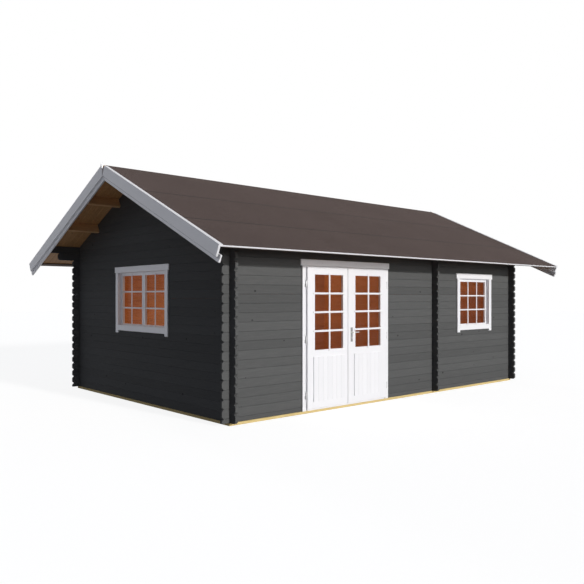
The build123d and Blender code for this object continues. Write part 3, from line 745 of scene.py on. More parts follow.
print("helpers for boards: drawn, merged")

# %% [markdown]
# The roof is two flat slopes that meet at the ridge. A roofer measures down the slope and up from
# the deck, so places on the roof are given in that way here. Two short functions turn them into x,
# y and z, which is easier to follow than turning each finished board.

# %% Places on the roof
PITCH = math.radians(24.6)
SLIT = 0.0005
SLOPES = (("front", -1), ("back", 1))
deck_low, deck_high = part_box("roof_deck_front")
DECK_X = deck_high.x
DECK_LENGTH = -deck_low.y / math.cos(PITCH)
RIDGE_Z = deck_high.z + SLIT * math.tan(PITCH)


def on_slope(side, x, along, lift):
    """A point so far down one slope and so far above the deck's top."""
    y = side * (along * math.cos(PITCH) + lift * math.sin(PITCH))
    return x, y, RIDGE_Z - along * math.sin(PITCH) + lift * math.cos(PITCH)


def at_ridge(side, x, lift):
    """A point on the upright cut where the two slopes meet."""
    return x, side * SLIT, RIDGE_Z - SLIT * math.tan(PITCH) + lift / math.cos(PITCH)


print("slopes of", round(DECK_LENGTH, 3), "m from a ridge at", round(RIDGE_Z, 3), "m")

# %% [markdown]
# The roof boards run from ridge to eave over the purlins. From below, under the wide gable, their
# V joints and changing tones show, which lines painted on one sheet would not give. One board is
# drawn from its upright cut at the ridge to the eave, and the row tree lays it along the cabin.
# They lie where the solid deck lies.

# %% Roof boards
DECK_DEPTH = 0.020
ROOF_BOARDS = 85
ROOF_GAP = 0.0003
ROOF_GROOVE = 0.005
ROOF_SEED = 11
board_step = 2 * DECK_X / ROOF_BOARDS
left, right = ROOF_GAP - DECK_X, board_step - ROOF_GAP - DECK_X
side_low = ROOF_GROOVE - DECK_DEPTH
section = [(left, 0.0), (right, 0.0), (right, side_low), (right - ROOF_GROOVE, -DECK_DEPTH),
           (left + ROOF_GROOVE, -DECK_DEPTH), (left, side_low)]
for name, side in SLOPES:
    board = drawn("roof board", [at_ridge(side, x, n) for x, n in section],
                  [on_slope(side, x, DECK_LENGTH, n) for x, n in section])
    boards = row(board, ROOF_BOARDS, (board_step, 0, 0), ROOF_SEED + side, pine_y)
    show(boards, f"roof_boards_{name}", pine_y, "building", (f"roof_deck_{name}",))
    print("roof boards", name, len(boards.polygons), "faces")

# %% [markdown]
# Felt comes in rolls about a metre wide, laid along the eave first, so each strip laps over the
# one below. A wedge for each strip gives the small step at every lap. The tar that holds the lap
# comes out as a thin black bead, which draws the faint lines along the roof.

# %% Felt strips
FELT_DEPTH = 0.004
FELT_EDGE = 0.0018
LAP_PLACES = (1.19, 2.24)
BEAD_WIDTH = 0.014
BEAD_TOP = 0.0034
BEAD_MIDDLE = 0.0030
FELT_SEED = 21
felt_low, felt_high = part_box("roof_felt_front")
FELT_X = felt_high.x
FELT_LENGTH = (-felt_low.y - FELT_DEPTH * math.sin(PITCH)) / math.cos(PITCH)
strip_ends = list(zip((SLIT,) + LAP_PLACES, LAP_PLACES + (FELT_LENGTH,)))


def along_roof(name, side, half_length, section):
    """A section drawn along the cabin; its corners are places down the slope and above the deck."""
    ends = [[on_slope(side, x, down, lift) for down, lift in section] for x in (-half_length, half_length)]
    return drawn(name, *ends)


for name, side in SLOPES:
    strips, beads = [], []
    for near, far in strip_ends:
        section = [(near, 0.0), (far, 0.0), (far, FELT_DEPTH), (near, FELT_EDGE)]
        strips.append(along_roof("felt strip", side, FELT_X, section))
    for lap in LAP_PLACES:
        section = [(lap, FELT_EDGE), (lap + BEAD_WIDTH, FELT_EDGE), (lap + BEAD_WIDTH / 2, BEAD_MIDDLE),
                   (lap, BEAD_TOP)]
        beads.append(along_roof("tar bead", side, FELT_X, section))
    felt_mesh = merged("felt", strips)
    set_tones(felt_mesh, FELT_SEED + side)
    show(felt_mesh, f"felt_strips_{name}", felt_finish, "building", (f"roof_felt_{name}",))
    show(merged("tar", beads), f"felt_laps_{name}", tar_finish, "building")
    print("felt strips", name, len(strips), "with", len(beads), "laps")

# %% [markdown]
# Behind each bargeboard a narrower strip hangs lower. Just below the edge of the board in front, the
# front strips carry a thin dark line of painted shade, where the board's edge overhangs them. A bump
# would not show so thin a line, so the strips' paint takes a shade colour there, by the height above the
# slope.

# %% Paint of the bargeboard strips
LIP = -0.140
LIP_SHADE = (-0.026, -0.010)
STRIP_FACE = 3.900


def painted_shade_under_lip(finish):
    """Painted shade, high on the outer face of the front strips, just below the edge of the bargeboards."""
    axes = finish.add("SeparateXYZ", Vector=finish.place)
    across = finish.math("MULTIPLY", finish.math("ABSOLUTE", axes.outputs["Y"]), math.sin(PITCH))
    up = finish.math("MULTIPLY", finish.math("SUBTRACT", axes.outputs["Z"], RIDGE_Z), math.cos(PITCH))
    near = finish.range(finish.math("ADD", across, up), LIP + LIP_SHADE[0], LIP + LIP_SHADE[1], 0.0, 1.0)
    outer = finish.math("GREATER_THAN", finish.math("ABSOLUTE", axes.outputs["X"]), STRIP_FACE)
    front = finish.math("LESS_THAN", axes.outputs["Y"], 0.0)
    return finish.math("MULTIPLY", near, finish.math("MULTIPLY", outer, front))


white_strip = white_paint("white paint, strips under the bargeboards", "y", painted_shade_under_lip)
print("strip paint", white_strip.name)

# %% [markdown]
# The verge boards, eave trims, purlins, bearers, joists and the frames of the door and windows keep
# their solid shape and only lose their sharp edges, so their joints stay where the solids meet.
# Upright and level boards in one frame share the upright grain, which under paint is hard to tell.

# %% Boards and frames
EDGE = 0.003
FINE_EDGE = 0.002
BOARDS = (
    ("bargeboards", EDGE, white_y, "white_paint"),
    ("bargeboard_strips", EDGE, white_strip, "white_paint"),
    ("verge_caps", FINE_EDGE, white_y, "white_paint"),
    ("eave_trims", FINE_EDGE, white_x, "white_paint"),
    ("ridge_purlin", EDGE, planed_pine_lit, "natural_wood"),
    ("front_purlins", EDGE, planed_pine_lit, "natural_wood"),
    ("back_purlins", EDGE, planed_pine_lit, "natural_wood"),
    ("bearers", EDGE, treated_x, "treated_wood"),
    ("floor_joists", EDGE, treated_x, "treated_wood"),
    ("door_frame", FINE_EDGE, white_z, "white_paint"),
    ("door_trim", EDGE, white_z, "white_paint"),
    ("door_threshold", EDGE, white_x, "white_paint"),
    ("front_window_frame", FINE_EDGE, white_z, "white_paint"),
    ("front_window_sash", EDGE, white_z, "white_paint"),
    ("front_window_trim", EDGE, white_z, "white_paint"),
    ("gable_window_frame", FINE_EDGE, white_z, "white_paint"),
    ("gable_window_sash", EDGE, white_z, "white_paint"),
    ("gable_window_trim", EDGE, white_z, "white_paint"),
)
for node, width, finish, slot in BOARDS:
    print(node, bevelled(node, width, finish, "building"), "boards")

# %% [markdown]
# A flat batten lies under the ends of the roof boards and ties them together at the eave. Its
# near-black colour is painted shade, which keeps the underside of the eave dark. It is thin, so it is
# drawn here as one chamfered board for each slope.

# %% Eave battens
BATTEN_END_GAP = 0.001
BATTEN_WIDTH = 0.085
BATTEN_DEPTH = 0.014
BATTEN_CUT = 0.003
near, far = DECK_LENGTH - BATTEN_WIDTH, DECK_LENGTH
low = -DECK_DEPTH - BATTEN_DEPTH
section = [(near, -DECK_DEPTH), (far, -DECK_DEPTH), (far, low + BATTEN_CUT), (far - BATTEN_CUT, low),
           (near + BATTEN_CUT, low), (near, low + BATTEN_CUT)]
battens = [along_roof("eave batten", side, FELT_X - BATTEN_END_GAP, section) for name, side in SLOPES]
show(merged("eave_battens", battens), "eave_battens", batten_painted_shade, "building")
print("eave battens", BATTEN_WIDTH, "m wide")

# %% [markdown]
# The floor of each room is tongued boards along the cabin. The row tree lays them across the
# room's depth, a little short of the walls, on the solid's own height.

# %% Floorboards
FLOOR_BOARDS = 46
FLOOR_GAP = 0.0004
FLOOR_CUT = 0.002
FLOOR_SEED = 31
PARTITION_X = (0.837, 0.891)
floor_low, floor_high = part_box("floor")
board_depth = (floor_high.y - floor_low.y) / FLOOR_BOARDS
y0, y1 = floor_low.y + FLOOR_GAP, floor_low.y + board_depth - FLOOR_GAP
z0, z1 = floor_low.z, floor_high.z
section = [(y0, z0), (y1, z0), (y1, z1 - FLOOR_CUT), (y1 - FLOOR_CUT, z1), (y0 + FLOOR_CUT, z1),
           (y0, z1 - FLOOR_CUT)]


def along_floor(name, x0, x1, section):
    """A section of y and z, drawn from one x to another."""
    return drawn(name, [(x0, y, z) for y, z in section], [(x1, y, z) for y, z in section])


floors = []
for number, (x0, x1) in enumerate(((floor_low.x, PARTITION_X[0]), (PARTITION_X[1], floor_high.x))):
    board = along_floor("floorboard", x0, x1, section)
    floors.append(row(board, FLOOR_BOARDS, (0, board_depth, 0), FLOOR_SEED + number, pine_x))
show(floors[0], "main_room_floorboards", pine_x, "building", ("floor",))
show(floors[1], "side_room_floorboards", pine_x, "building")
print("floorboards", [len(floor.polygons) for floor in floors], "faces")

# %% [markdown]
# The doorway between the rooms has a board of its own, laid across the cabin in the gap that the
# partition leaves between the two floors. It is a plain flat board, drawn as the floorboards are.

# %% Board in the inner doorway
DOORWAY_Y = (0.32, 1.21)
DOORWAY_Z = (0.036, 0.054)
DOORWAY_GAP = 0.0005
x0, x1 = PARTITION_X[0] + DOORWAY_GAP, PARTITION_X[1] - DOORWAY_GAP
(y0, y1), (z0, z1) = DOORWAY_Y, DOORWAY_Z
section = [(y0, z0), (y1, z0), (y1, z1), (y0, z1)]
doorway_board = along_floor("doorway board", x0, x1, section)
show(doorway_board, "inner_doorway_board", pine_y, "building")
print("doorway board", round(y1 - y0, 2), "m long")

# %% [markdown]
# Each leaf of the door is a white frame with a glazed top and a grooved panel below. The frame is
# the bevelled solid. The panel is a row of upright boards with a V joint between them, laid one by
# one with the row tree, because grooves cut in a single sheet would leave it all one tone.

# %% Door leaves and their grooved panels
PANEL_BOARDS = 7
PANEL_GAP = 0.0002
PANEL_GROOVE = 0.003
PANEL_SEED = 41
for side in ("left", "right"):
    bevelled(f"{side}_door_leaf", EDGE, white_z, f"{side}_door")
    low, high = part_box(f"{side}_door_panel")
    wide = (high.x - low.x) / PANEL_BOARDS
    x0, x1 = low.x + PANEL_GAP, low.x + wide - PANEL_GAP
    section = [(x0, high.y), (x1, high.y), (x1, low.y + PANEL_GROOVE), (x1 - PANEL_GROOVE, low.y),
               (x0 + PANEL_GROOVE, low.y), (x0, low.y + PANEL_GROOVE)]
    board = drawn("panel board", [(x, y, low.z) for x, y in section], [(x, y, high.z) for x, y in section])
    panel = row(board, PANEL_BOARDS, (wide, 0, 0), PANEL_SEED, white_z)
    show(panel, f"{side}_door_panel_boards", white_z, f"{side}_door", (f"{side}_door_panel",))
    print(side, "panel", PANEL_BOARDS, "boards of", round(wide * 1000), "mm")

# %% [markdown]
# Glazing bars cross in front of one sheet of glass. A second tree makes such a grid from one bar
# of unit length: upright bars between the columns, level bars between the rows, each drawn out
# to its length. Its inputs are the pane sizes and how far the ends lap onto the frame. The upright
# bars lie a little deeper, since two faces in one plane would flicker where the bars cross.

# %% A tree for glazing bars
UPRIGHT_SINK = 0.0008


def make_grid_tree():
    """A tree that sets bars between the columns and the rows of a window."""
    inputs = (("Bar", "Geometry"), ("Columns", "Int"), ("Rows", "Int"), ("Width", "Float"),
              ("Height", "Float"), ("Upright Lap", "Float"), ("Level Lap", "Float"), ("Finish", "Material"))
    tree, identifiers = new_tree("glazing bars", inputs, "Bars")
    link = tree.links.new
    start = tree.nodes.new("NodeGroupInput")
    end = tree.nodes.new("NodeGroupOutput")

    def fed(made, values):
        """Fills a node's sockets in their order and returns its first output."""
        for socket, value in zip(made.inputs, values):
            feed(tree, socket, value)
        return made.outputs[0]

    def figure(operation, a, b):
        """One step of arithmetic."""
        made = tree.nodes.new("ShaderNodeMath")
        made.operation = operation
        return fed(made, (a, b))

    def vector(x, y, z):
        """Three numbers as one place or size."""
        return fed(tree.nodes.new("ShaderNodeCombineXYZ"), (x, y, z))

    def bars(count, span, length, upright):
        """A line of bars, one fewer than the panes that share the span."""
        pitch = figure("DIVIDE", span, count)
        first = figure("SUBTRACT", pitch, figure("MULTIPLY", span, 0.5))
        line = tree.nodes.new("GeometryNodeMeshLine")
        line.mode = "OFFSET"
        link(figure("SUBTRACT", count, 1.0), line.inputs["Count"])
        begin = vector(first, UPRIGHT_SINK, 0) if upright else vector(0, 0, first)
        link(begin, line.inputs["Start Location"])
        link(vector(pitch, 0, 0) if upright else vector(0, 0, pitch), line.inputs["Offset"])
        copies = tree.nodes.new("GeometryNodeInstanceOnPoints")
        link(line.outputs["Mesh"], copies.inputs["Points"])
        link(start.outputs["Bar"], copies.inputs["Instance"])
        lap = start.outputs["Upright Lap" if upright else "Level Lap"]
        whole = figure("ADD", length, figure("MULTIPLY", lap, 2.0))
        link(vector(whole, 1.0, 1.0), copies.inputs["Scale"])
        if upright:
            copies.inputs["Rotation"].default_value = (0, math.radians(90), 0)
        return copies.outputs["Instances"]

    joined = tree.nodes.new("GeometryNodeJoinGeometry")
    width, height = start.outputs["Width"], start.outputs["Height"]
    link(bars(start.outputs["Columns"], width, height, True), joined.inputs[0])
    link(bars(start.outputs["Rows"], height, width, False), joined.inputs[0])
    real = tree.nodes.new("GeometryNodeRealizeInstances")
    finish = tree.nodes.new("GeometryNodeSetMaterial")
    link(joined.outputs[0], real.inputs[0])
    link(real.outputs[0], finish.inputs["Geometry"])
    link(start.outputs["Finish"], finish.inputs["Material"])
    link(finish.outputs[0], end.inputs[0])
    return tree, identifiers


GRID_TREE, GRID_INPUTS = make_grid_tree()
print("grid tree inputs", list(GRID_INPUTS))

# %% [markdown]
# A glazing bar is a thin strip of wood whose two front edges are planed off. It is drawn with a
# length of one, because the tree draws each copy out to the length that it needs. The ends stay
# square, since they are hidden on the frame.

# %% One bar and a grid of bars
def unit_bar(width, front, back, cut):
    """A bar of unit length along X whose front edges are bevelled."""
    half = width / 2
    section = [(back, -half), (back, half), (front + cut, half), (front, half - cut),
               (front, cut - half), (front + cut, -half)]
    return drawn("glazing bar", [(-0.5, y, z) for y, z in section], [(0.5, y, z) for y, z in section])


def glazing_bars(bar, panes, size, laps):
    """A grid of bars round the middle; panes, size and laps are pairs, across and up."""
    values = {"Columns": panes[0], "Rows": panes[1], "Width": size[0], "Height": size[1],
              "Level Lap": laps[0], "Upright Lap": laps[1], "Finish": white_z}
    return grown(bar, GRID_TREE, GRID_INPUTS, values)


print("helpers for bars: unit_bar, glazing_bars")

# %% [markdown]
# On this door the bars are a thin lattice in front of one deep set sheet of glass. They lie on the
# face of the leaf and lap onto its wood, where they are held. Seen from the side, the pane behind
# them shows the depth of the leaf.

# %% Bars of the door
DOOR_PANES = (2, 4)
DOOR_BAR_WIDTH = 0.029
DOOR_BAR_DEPTH = 0.010
DOOR_BAR_CUT = 0.004
DOOR_BAR_LAPS = (0.034, 0.027)
for side in ("left", "right"):
    low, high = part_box(f"{side}_door_glass")
    leaf_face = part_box(f"{side}_door_leaf")[0].y
    middle = (low + high) / 2
    width, height = high.x - low.x, high.z - low.z
    bar = unit_bar(DOOR_BAR_WIDTH, leaf_face - DOOR_BAR_DEPTH, leaf_face, DOOR_BAR_CUT)
    mesh = glazing_bars(bar, DOOR_PANES, (width, height), DOOR_BAR_LAPS)
    mesh.transform(Matrix.Translation((middle.x, 0, middle.z)))
    show(mesh, f"{side}_door_bars", white_z, f"{side}_door")
    print(side, "door bars on", round(width, 3), "by", round(height, 3))

# %% [markdown]
# The windows use the same tree, with the bars on the outer face of the sash. The gable window is
# made as if it were in the front and then turned a quarter to face its wall.

# %% Bars of the windows
WINDOW_ROWS = 3
FRONT_COLUMNS = 3
SASH_COLUMNS = 2
WINDOW_BAR_WIDTH = 0.023
WINDOW_BAR_DEPTH = 0.008
WINDOW_BAR_CUT = 0.003
WINDOW_BAR_LAPS = (0.044, 0.025)
MIDDLE_STILE = 0.046


def window_bars(name, low, high, face, columns, turned):
    """Bars over the pane between two corners; the sash's face lies so far out from its middle."""
    middle = (low + high) / 2
    across = high.y - low.y if turned else high.x - low.x
    bar = unit_bar(WINDOW_BAR_WIDTH, -face - WINDOW_BAR_DEPTH, -face, WINDOW_BAR_CUT)
    mesh = glazing_bars(bar, (columns, WINDOW_ROWS), (across, high.z - low.z), WINDOW_BAR_LAPS)
    if turned:
        mesh.transform(Matrix.Rotation(math.radians(-90), 4, "Z"))
    mesh.transform(Matrix.Translation(middle))
    show(mesh, f"{name}_bars", white_z, "building")
    print(name, "bars on", round(across, 3), "by", round(high.z - low.z, 3))


low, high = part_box("front_window_glass")
face = (low.y + high.y) / 2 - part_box("front_window_sash")[0].y
window_bars("front_window", low, high, face, FRONT_COLUMNS, False)
low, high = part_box("gable_window_glass")
face = (low.x + high.x) / 2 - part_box("gable_window_sash")[0].x
left_high = Vector((high.x, -MIDDLE_STILE, high.z))
right_low = Vector((low.x, MIDDLE_STILE, low.z))
window_bars("gable_window_left", low, left_high, face, SASH_COLUMNS, True)
window_bars("gable_window_right", right_low, high, face, SASH_COLUMNS, True)

# %% [markdown]
# The panes are flat sheets in the leaves and sashes. Their solids have all the shape that a pane
# needs, so they stay as they are and only take the clear finish.

# %% Panes
for node in ("left_door_glass", "right_door_glass", "front_window_glass", "gable_window_glass"):
    nodes[node].data.materials.clear()
    nodes[node].data.materials.append(glass_finish)
    print("glazed", node)

# %% [markdown]
# Turned and bent metal is made of rings: points round a circle, one ring after another along the
# piece, joined to a closed skin. A curve with a round bevel would do for a plain rod, but rings may
# also change their shape on the way, as a lever does.

# %% Rings and tubes
def full_turn(count):
    """Angles, evenly spaced round a circle."""
    return [2 * math.pi * i / count for i in range(count)]


def tube(name, rings):
    """A closed mesh through rings of points, smooth along its length."""
    bm = bmesh.new()
    loops = [[bm.verts.new(point) for point in ring] for ring in rings]
    count = len(loops[0])
    for first, second in zip(loops, loops[1:]):
        for i in range(count):
            j = (i + 1) % count
            bm.faces.new((first[i], first[j], second[j], second[i])).smooth = True
    bm.faces.new(loops[0])
    bm.faces.new(list(reversed(loops[-1])))
    bmesh.ops.recalc_face_normals(bm, faces=bm.faces)
    return mesh_from(bm, name)


print("helpers for metal: full_turn, tube")

# %% [markdown]
# The hinges are two knuckles on a pin, with a plate on the trim. Their solids have the right
# shape and only lose their sharp edges. On a real hinge a small turned tip closes each end of the
# knuckles. A table of heights and radii gives its rings, which is quicker than modelling it.

# %% Hinges and their tips
TIP_SIDES = 16
TIP = ((0.0, 0.0074), (0.0012, 0.0074), (0.0020, 0.0050), (0.0034, 0.0040), (0.0050, 0.0052),
       (0.0068, 0.0054), (0.0084, 0.0042), (0.0094, 0.0016))
HINGE_LINES = {"left": -2.050, "right": -0.368}
HINGE_Y = -2.269
HINGE_HEIGHTS = (1.780, 1.012, 0.245)
HINGE_HALF = 0.044
HINGE_EDGE = 0.0008
METAL_SHARP = math.radians(40)
METAL_SEGMENTS = 2


def circle(center, radius):
    """A level ring of points."""
    x, y, z = center
    return [(x + radius * math.cos(t), y + radius * math.sin(t), z) for t in full_turn(TIP_SIDES)]


frame_tips = []
for side, x in HINGE_LINES.items():
    leaf_tips = []
    for height in HINGE_HEIGHTS:
        up = [circle((x, HINGE_Y, height + HINGE_HALF + h), r) for h, r in TIP]
        down = [circle((x, HINGE_Y, height - HINGE_HALF - h), r) for h, r in TIP]
        leaf_tips.append(tube("hinge tip", up))
        frame_tips.append(tube("hinge tip", down))
    show(merged("tips", leaf_tips), f"{side}_door_hinge_tips", hinge_finish, f"{side}_door")
    count = bevelled(f"{side}_door_hinges", HINGE_EDGE, hinge_finish, f"{side}_door",
                     METAL_SHARP, METAL_SEGMENTS)
    print(side, "leaf hinges", count)
show(merged("tips", frame_tips), "frame_hinge_tips", hinge_finish, "building")
count = bevelled("frame_hinges", HINGE_EDGE, hinge_finish, "building",
                 METAL_SHARP, METAL_SEGMENTS)
print("frame hinges", count)

# %% [markdown]
# The lever is a bent bar, round where it leaves the plate and flatter along the hand. Bevelling
# the solid would leave the bend square. Rings set along a bent path give it a true curve, and the
# same path serves the inner and the outer side of the door.

# %% Path of the lever
plate_low, plate_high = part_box("handle_plates")
lever_low, lever_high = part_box("lever_handle")
leaf_low, leaf_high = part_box("right_door_leaf")
AXLE_X = (plate_low.x + plate_high.x) / 2
AXLE_Z = (lever_low.z + lever_high.z) / 2
LEVER_LENGTH = lever_high.x - AXLE_X
LEVER_REACH = 0.040
LEVER_BEND = 0.015
LEVER_SAG = 0.004
NECK_RADIUS = 0.0076
NECK_PLACES = (0.001, 0.009, 0.017, LEVER_REACH - LEVER_BEND)
BEND_STEPS = 6
BEND_TALLER = 0.0002
BEND_THINNER = 0.0003
HAND_SHARES = (0.2, 0.4, 0.6, 0.8, 0.95)
HAND_SIZE = (0.0088, 0.0058)
HAND_TAPER = (0.0008, 0.0006)
LEVER_TIP = ((0.003, 0.0042, 0.0064, 0.0040), (0.0006, 0.0043, 0.0030, 0.0018))


def lever_stations():
    """Places along the bar: x, distance from the leaf, heading, half height, half thickness."""
    places = [(0.0, out, 0.0, NECK_RADIUS, NECK_RADIUS) for out in NECK_PLACES]
    square = math.radians(90)
    for step in range(1, BEND_STEPS + 1):
        turn = square * step / BEND_STEPS
        over = LEVER_BEND * (1 - math.cos(turn))
        out = LEVER_REACH - LEVER_BEND + LEVER_BEND * math.sin(turn)
        places.append((over, out, turn, NECK_RADIUS + BEND_TALLER * step, NECK_RADIUS - BEND_THINNER * step))
    straight = LEVER_LENGTH - LEVER_BEND - LEVER_SAG
    for share in HAND_SHARES:
        tall, thick = (size - taper * share for size, taper in zip(HAND_SIZE, HAND_TAPER))
        out = LEVER_REACH - LEVER_SAG * share ** 2
        places.append((LEVER_BEND + straight * share, out, square, tall, thick))
    for short, sag, tall, thick in LEVER_TIP:
        places.append((LEVER_LENGTH - short, LEVER_REACH - sag, square, tall, thick))
    return places


print("lever", round(LEVER_LENGTH, 3), "m long, in", len(lever_stations()), "stations")

# %% [markdown]
# At each station an oval ring stands square to the path. The two arms, one on each side of the
# leaf, are one mesh on one body, because they turn together on the axle.

# %% Lever
LEVER_SIDES = 18


def lever_arm(face, out):
    """The bar on one side of the leaf, as rings along its stations."""
    rings = []
    for x, away, heading, tall, thick in lever_stations():
        ring = []
        for turn in full_turn(LEVER_SIDES):
            n = thick * math.cos(turn)
            ring.append((AXLE_X + x + n * math.cos(heading), face + out * (away - n * math.sin(heading)),
                         AXLE_Z + tall * math.sin(turn)))
        rings.append(ring)
    return tube("lever arm", rings)


lever = merged("lever", [lever_arm(leaf_low.y, -1), lever_arm(leaf_high.y, 1)])
show(lever, "lever_bar", handle_finish, "lever", ("lever_handle",))
print("lever", len(lever.polygons), "faces")

# %% [markdown]
# Each plate carries a turned collar round the lever's neck. It is a small section, given by radii
# and heights, and turned round the axle. The Spin tool would give the same ring, but joining the
# turned sections in code also closes it without a seam.

# %% Collars
COLLAR_SIDES = 24
COLLAR = ((0.0088, 0.0002), (0.0140, 0.0002), (0.0140, 0.0012), (0.0118, 0.0030), (0.0088, 0.0030))


def collar(face, out):
    """A turned ring round the neck; its section is closed, so it has no ends."""
    bm = bmesh.new()
    loops = []
    for turn in full_turn(COLLAR_SIDES):
        ring = [(AXLE_X + r * math.cos(turn), face + out * h, AXLE_Z + r * math.sin(turn)) for r, h in COLLAR]
        loops.append([bm.verts.new(point) for point in ring])
    for first, second in zip(loops, loops[1:] + loops[:1]):
        for k in range(len(COLLAR)):
            m = (k + 1) % len(COLLAR)
            bm.faces.new((first[k], first[m], second[m], second[k]))
    bmesh.ops.recalc_face_normals(bm, faces=bm.faces)
    return mesh_from(bm, "collar")


faces = ((plate_low.y, -1), (plate_high.y, 1))
collars = [collar(face, out) for face, out in faces]
print("collars", len(collars))

# %% [markdown]
# Below the lever sits the lock, the pear shaped barrel that such doors have, with a dark keyhole.
# Both are one kind of outline in two sizes, drawn a few millimetres out of the plate. A keyhole that
# is cut in would need a Boolean, and at this size a dark face looks the same.

# %% Plates and lock
PLATE_EDGE = 0.0018
LOCK_DROP = 0.072
LOCK_Z = AXLE_Z - LOCK_DROP
LOCK_PEAR = (0.0085, 0.005, 0.018)
LOCK_RISE = (0.0, 0.0025)
KEYHOLE_PEAR = (0.0019, 0.0008, 0.0055)
KEYHOLE_RISE = (0.0024, 0.0028)
PEAR_STEPS = 14
TAIL_STEPS = 6


def pear(radius, half_slot, drop):
    """A round with a narrower tail below it, as x and z from its middle."""
    side = math.asin(half_slot / radius)
    start, end = -math.pi / 2 + side, 1.5 * math.pi - side
    top = [start + (end - start) * i / PEAR_STEPS for i in range(PEAR_STEPS + 1)]
    head = [(radius * math.cos(t), radius * math.sin(t)) for t in top]
    low = [math.pi + math.pi * i / TAIL_STEPS for i in range(TAIL_STEPS + 1)]
    return head + [(half_slot * math.cos(t), half_slot * math.sin(t) - drop) for t in low]


def on_plate(outline, face, out, rise):
    """An outline at the lock's place, drawn out of the plate from one rise to another."""
    ends = [[(AXLE_X + x, face + out * height, LOCK_Z + z) for x, z in outline] for height in rise]
    return drawn("lock", *ends)


locks = [on_plate(pear(*LOCK_PEAR), face, out, LOCK_RISE) for face, out in faces]
keyholes = [on_plate(pear(*KEYHOLE_PEAR), face, out, KEYHOLE_RISE) for face, out in faces]
count = bevelled("handle_plates", PLATE_EDGE, plate_finish, "right_door",
                 METAL_SHARP, METAL_SEGMENTS)
show(merged("locks", locks + collars), "handle_lock_and_collars", handle_finish, "right_door")
show(merged("keyholes", keyholes), "keyholes", dark_finish, "right_door")
print("plates", count, "locks", len(locks), "keyholes", len(keyholes))

# %% [markdown]
# Slotted screws hold the hinges and plates, and broader ones the trim boards. One head is made of
# a disc and two halves with a slot between them, which is cheaper than cutting the slot with a
# Boolean. The row tree then repeats it along each board.

# %% A screw head and a row of them
TRIM_SCREW = 0.0038
SCREW = 0.0030
HEAD_SIDES = 12
HALF_STEPS = 6
HALF_TURN = (8, 172)
HEIGHT_SHARE = 0.42
FOOT_SHARE = 0.45
SLOT_SHARE = 0.14
TOP_SHARE = 0.72
FACING_FRONT = 0
FACING_LEFT = -90
FACING_BACK = 180


def screw_head(radius):
    """A slotted head that faces the front, with its foot on y = 0."""
    height = radius * HEIGHT_SHARE
    gap = radius * SLOT_SHARE
    step_y = -height * FOOT_SHARE
    foot = [(radius * math.cos(t), radius * math.sin(t)) for t in full_turn(HEAD_SIDES)]
    parts = [drawn("foot", [(x, 0.0, z) for x, z in foot], [(x, step_y, z) for x, z in foot])]
    first, last = HALF_TURN
    turns = [math.radians(first + (last - first) * i / HALF_STEPS) for i in range(HALF_STEPS + 1)]
    for side in (-1, 1):
        wide = [(radius * math.cos(t), side * max(gap, radius * math.sin(t))) for t in turns]
        narrow = [(TOP_SHARE * x, side * max(gap, TOP_SHARE * abs(z))) for x, z in wide]
        parts.append(drawn("half", [(x, step_y, z) for x, z in wide], [(x, -height, z) for x, z in narrow]))
    return merged("screw head", parts)


def screws(radius, start, step, count, facing, seed):
    """A row of heads from a start; facing is the turn about Z away from the front."""
    head = screw_head(radius)
    head.transform(Matrix.Translation(start) @ Matrix.Rotation(math.radians(facing), 4, "Z"))
    return row(head, count, step, seed, hinge_finish)


print("heads of", 2 * SCREW, "and", 2 * TRIM_SCREW, "m across")

# %% [markdown]
# The hinge plates have two screws each, on the side away from the leaf, and a longer row goes up the
# trim beside them. Both kinds keep their distance from the hinge line, so one loop over the hinge
# lines sets them on the left and on the right of the door.

# %% Screws of the hinges and of the upright trim
HINGE_SCREW_OUT = 0.0145
HINGE_SCREW_Y = -2.258
HINGE_SCREW_DROP = 0.033
HINGE_SCREW_STEP = 0.021
HINGE_SCREWS = 2
TRIM_SCREW_OUT = 0.0255
TRIM_SCREW_Y = -2.255
TRIM_SCREW_Z = 0.42
TRIM_SCREW_STEP = 0.33
TRIM_SCREWS = 4
HINGE_SEED = 50
TRIM_SEED = 54
rows = []
for side, x in HINGE_LINES.items():
    out = -1 if side == "left" else 1
    for number, height in enumerate(HINGE_HEIGHTS):
        start = (x + out * HINGE_SCREW_OUT, HINGE_SCREW_Y, height - HINGE_SCREW_DROP)
        step = (0, 0, HINGE_SCREW_STEP)
        rows.append(screws(SCREW, start, step, HINGE_SCREWS, FACING_FRONT, HINGE_SEED + number))
    start = (x + out * TRIM_SCREW_OUT, TRIM_SCREW_Y, TRIM_SCREW_Z)
    rows.append(screws(TRIM_SCREW, start, (0, 0, TRIM_SCREW_STEP), TRIM_SCREWS, FACING_FRONT, TRIM_SEED))
print("rows at the hinges", len(rows))

# %% [markdown]
# The head board of the door and the trims of the windows are held in the same way. Their rows
# start from the boxes of those boards, so the heads lie on their faces. All the rows on the
# building then become one mesh.

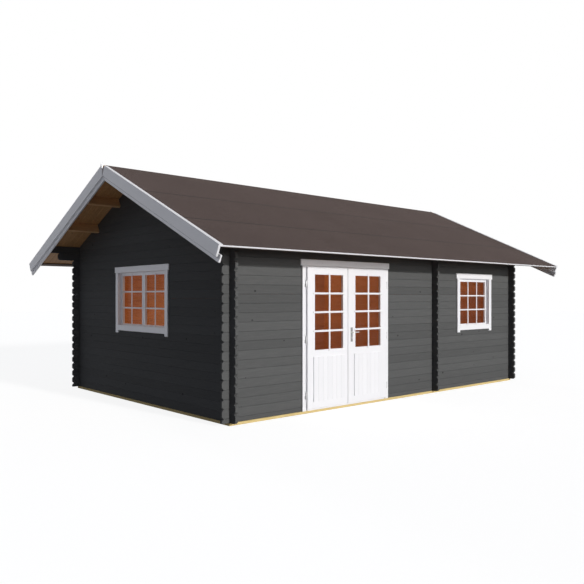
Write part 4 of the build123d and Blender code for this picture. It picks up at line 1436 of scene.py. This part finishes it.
# %% Screws of the head board and the window trims
HEADBOARD_SCREWS = 6
HEADBOARD_INSET = 0.05
HEADBOARD_DROP = 0.045
FRONT_WINDOW_X = 2.093
FRONT_SCREW_OUT = 0.50
GABLE_SCREW_OUT = 0.745
WINDOW_SCREW_RISE = 0.12
WINDOW_SCREW_MARGIN = 0.30
HEADBOARD_SEED = 55
FRONT_SEED = 56
GABLE_SEED = 57
door_low, door_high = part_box("door_trim")
start = (door_low.x + HEADBOARD_INSET, door_low.y, door_high.z - HEADBOARD_DROP)
apart = (door_high.x - door_low.x - 2 * HEADBOARD_INSET) / (HEADBOARD_SCREWS - 1)
rows.append(screws(TRIM_SCREW, start, (apart, 0, 0), HEADBOARD_SCREWS, FACING_FRONT, HEADBOARD_SEED))
front_low, front_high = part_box("front_window_trim")
gable_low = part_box("gable_window_trim")[0]
rise = (front_high.z - front_low.z - WINDOW_SCREW_MARGIN) / (TRIM_SCREWS - 1)
for side in (-1, 1):
    start = (FRONT_WINDOW_X + side * FRONT_SCREW_OUT, front_low.y, front_low.z + WINDOW_SCREW_RISE)
    rows.append(screws(TRIM_SCREW, start, (0, 0, rise), TRIM_SCREWS, FACING_FRONT, FRONT_SEED))
    start = (gable_low.x, side * GABLE_SCREW_OUT, gable_low.z + WINDOW_SCREW_RISE)
    rows.append(screws(TRIM_SCREW, start, (0, 0, rise), TRIM_SCREWS, FACING_LEFT, GABLE_SEED))
show(merged("building screws", rows), "building_screws", hinge_finish, "building")
print("rows of screws on the building", len(rows))

# %% [markdown]
# One screw at the top and one at the bottom hold each plate. On the inner plate they are turned
# half round, since they face into the room. They ride on the door leaf, so they are a mesh of their
# own.

# %% Screws of the handle plates
PLATE_SCREW_INSET = 0.012
PLATE_SCREWS = 2
PLATE_SEED = 60
plate_gap = plate_high.z - plate_low.z - 2 * PLATE_SCREW_INSET
plate_rows = []
for face, out in faces:
    start = (AXLE_X, face, plate_low.z + PLATE_SCREW_INSET)
    facing = FACING_FRONT if out < 0 else FACING_BACK
    plate_rows.append(screws(SCREW, start, (0, 0, plate_gap), PLATE_SCREWS, facing, PLATE_SEED))
show(merged("plate screws", plate_rows), "handle_plate_screws", handle_finish, "right_door")
print("rows of plate screws", len(plate_rows))
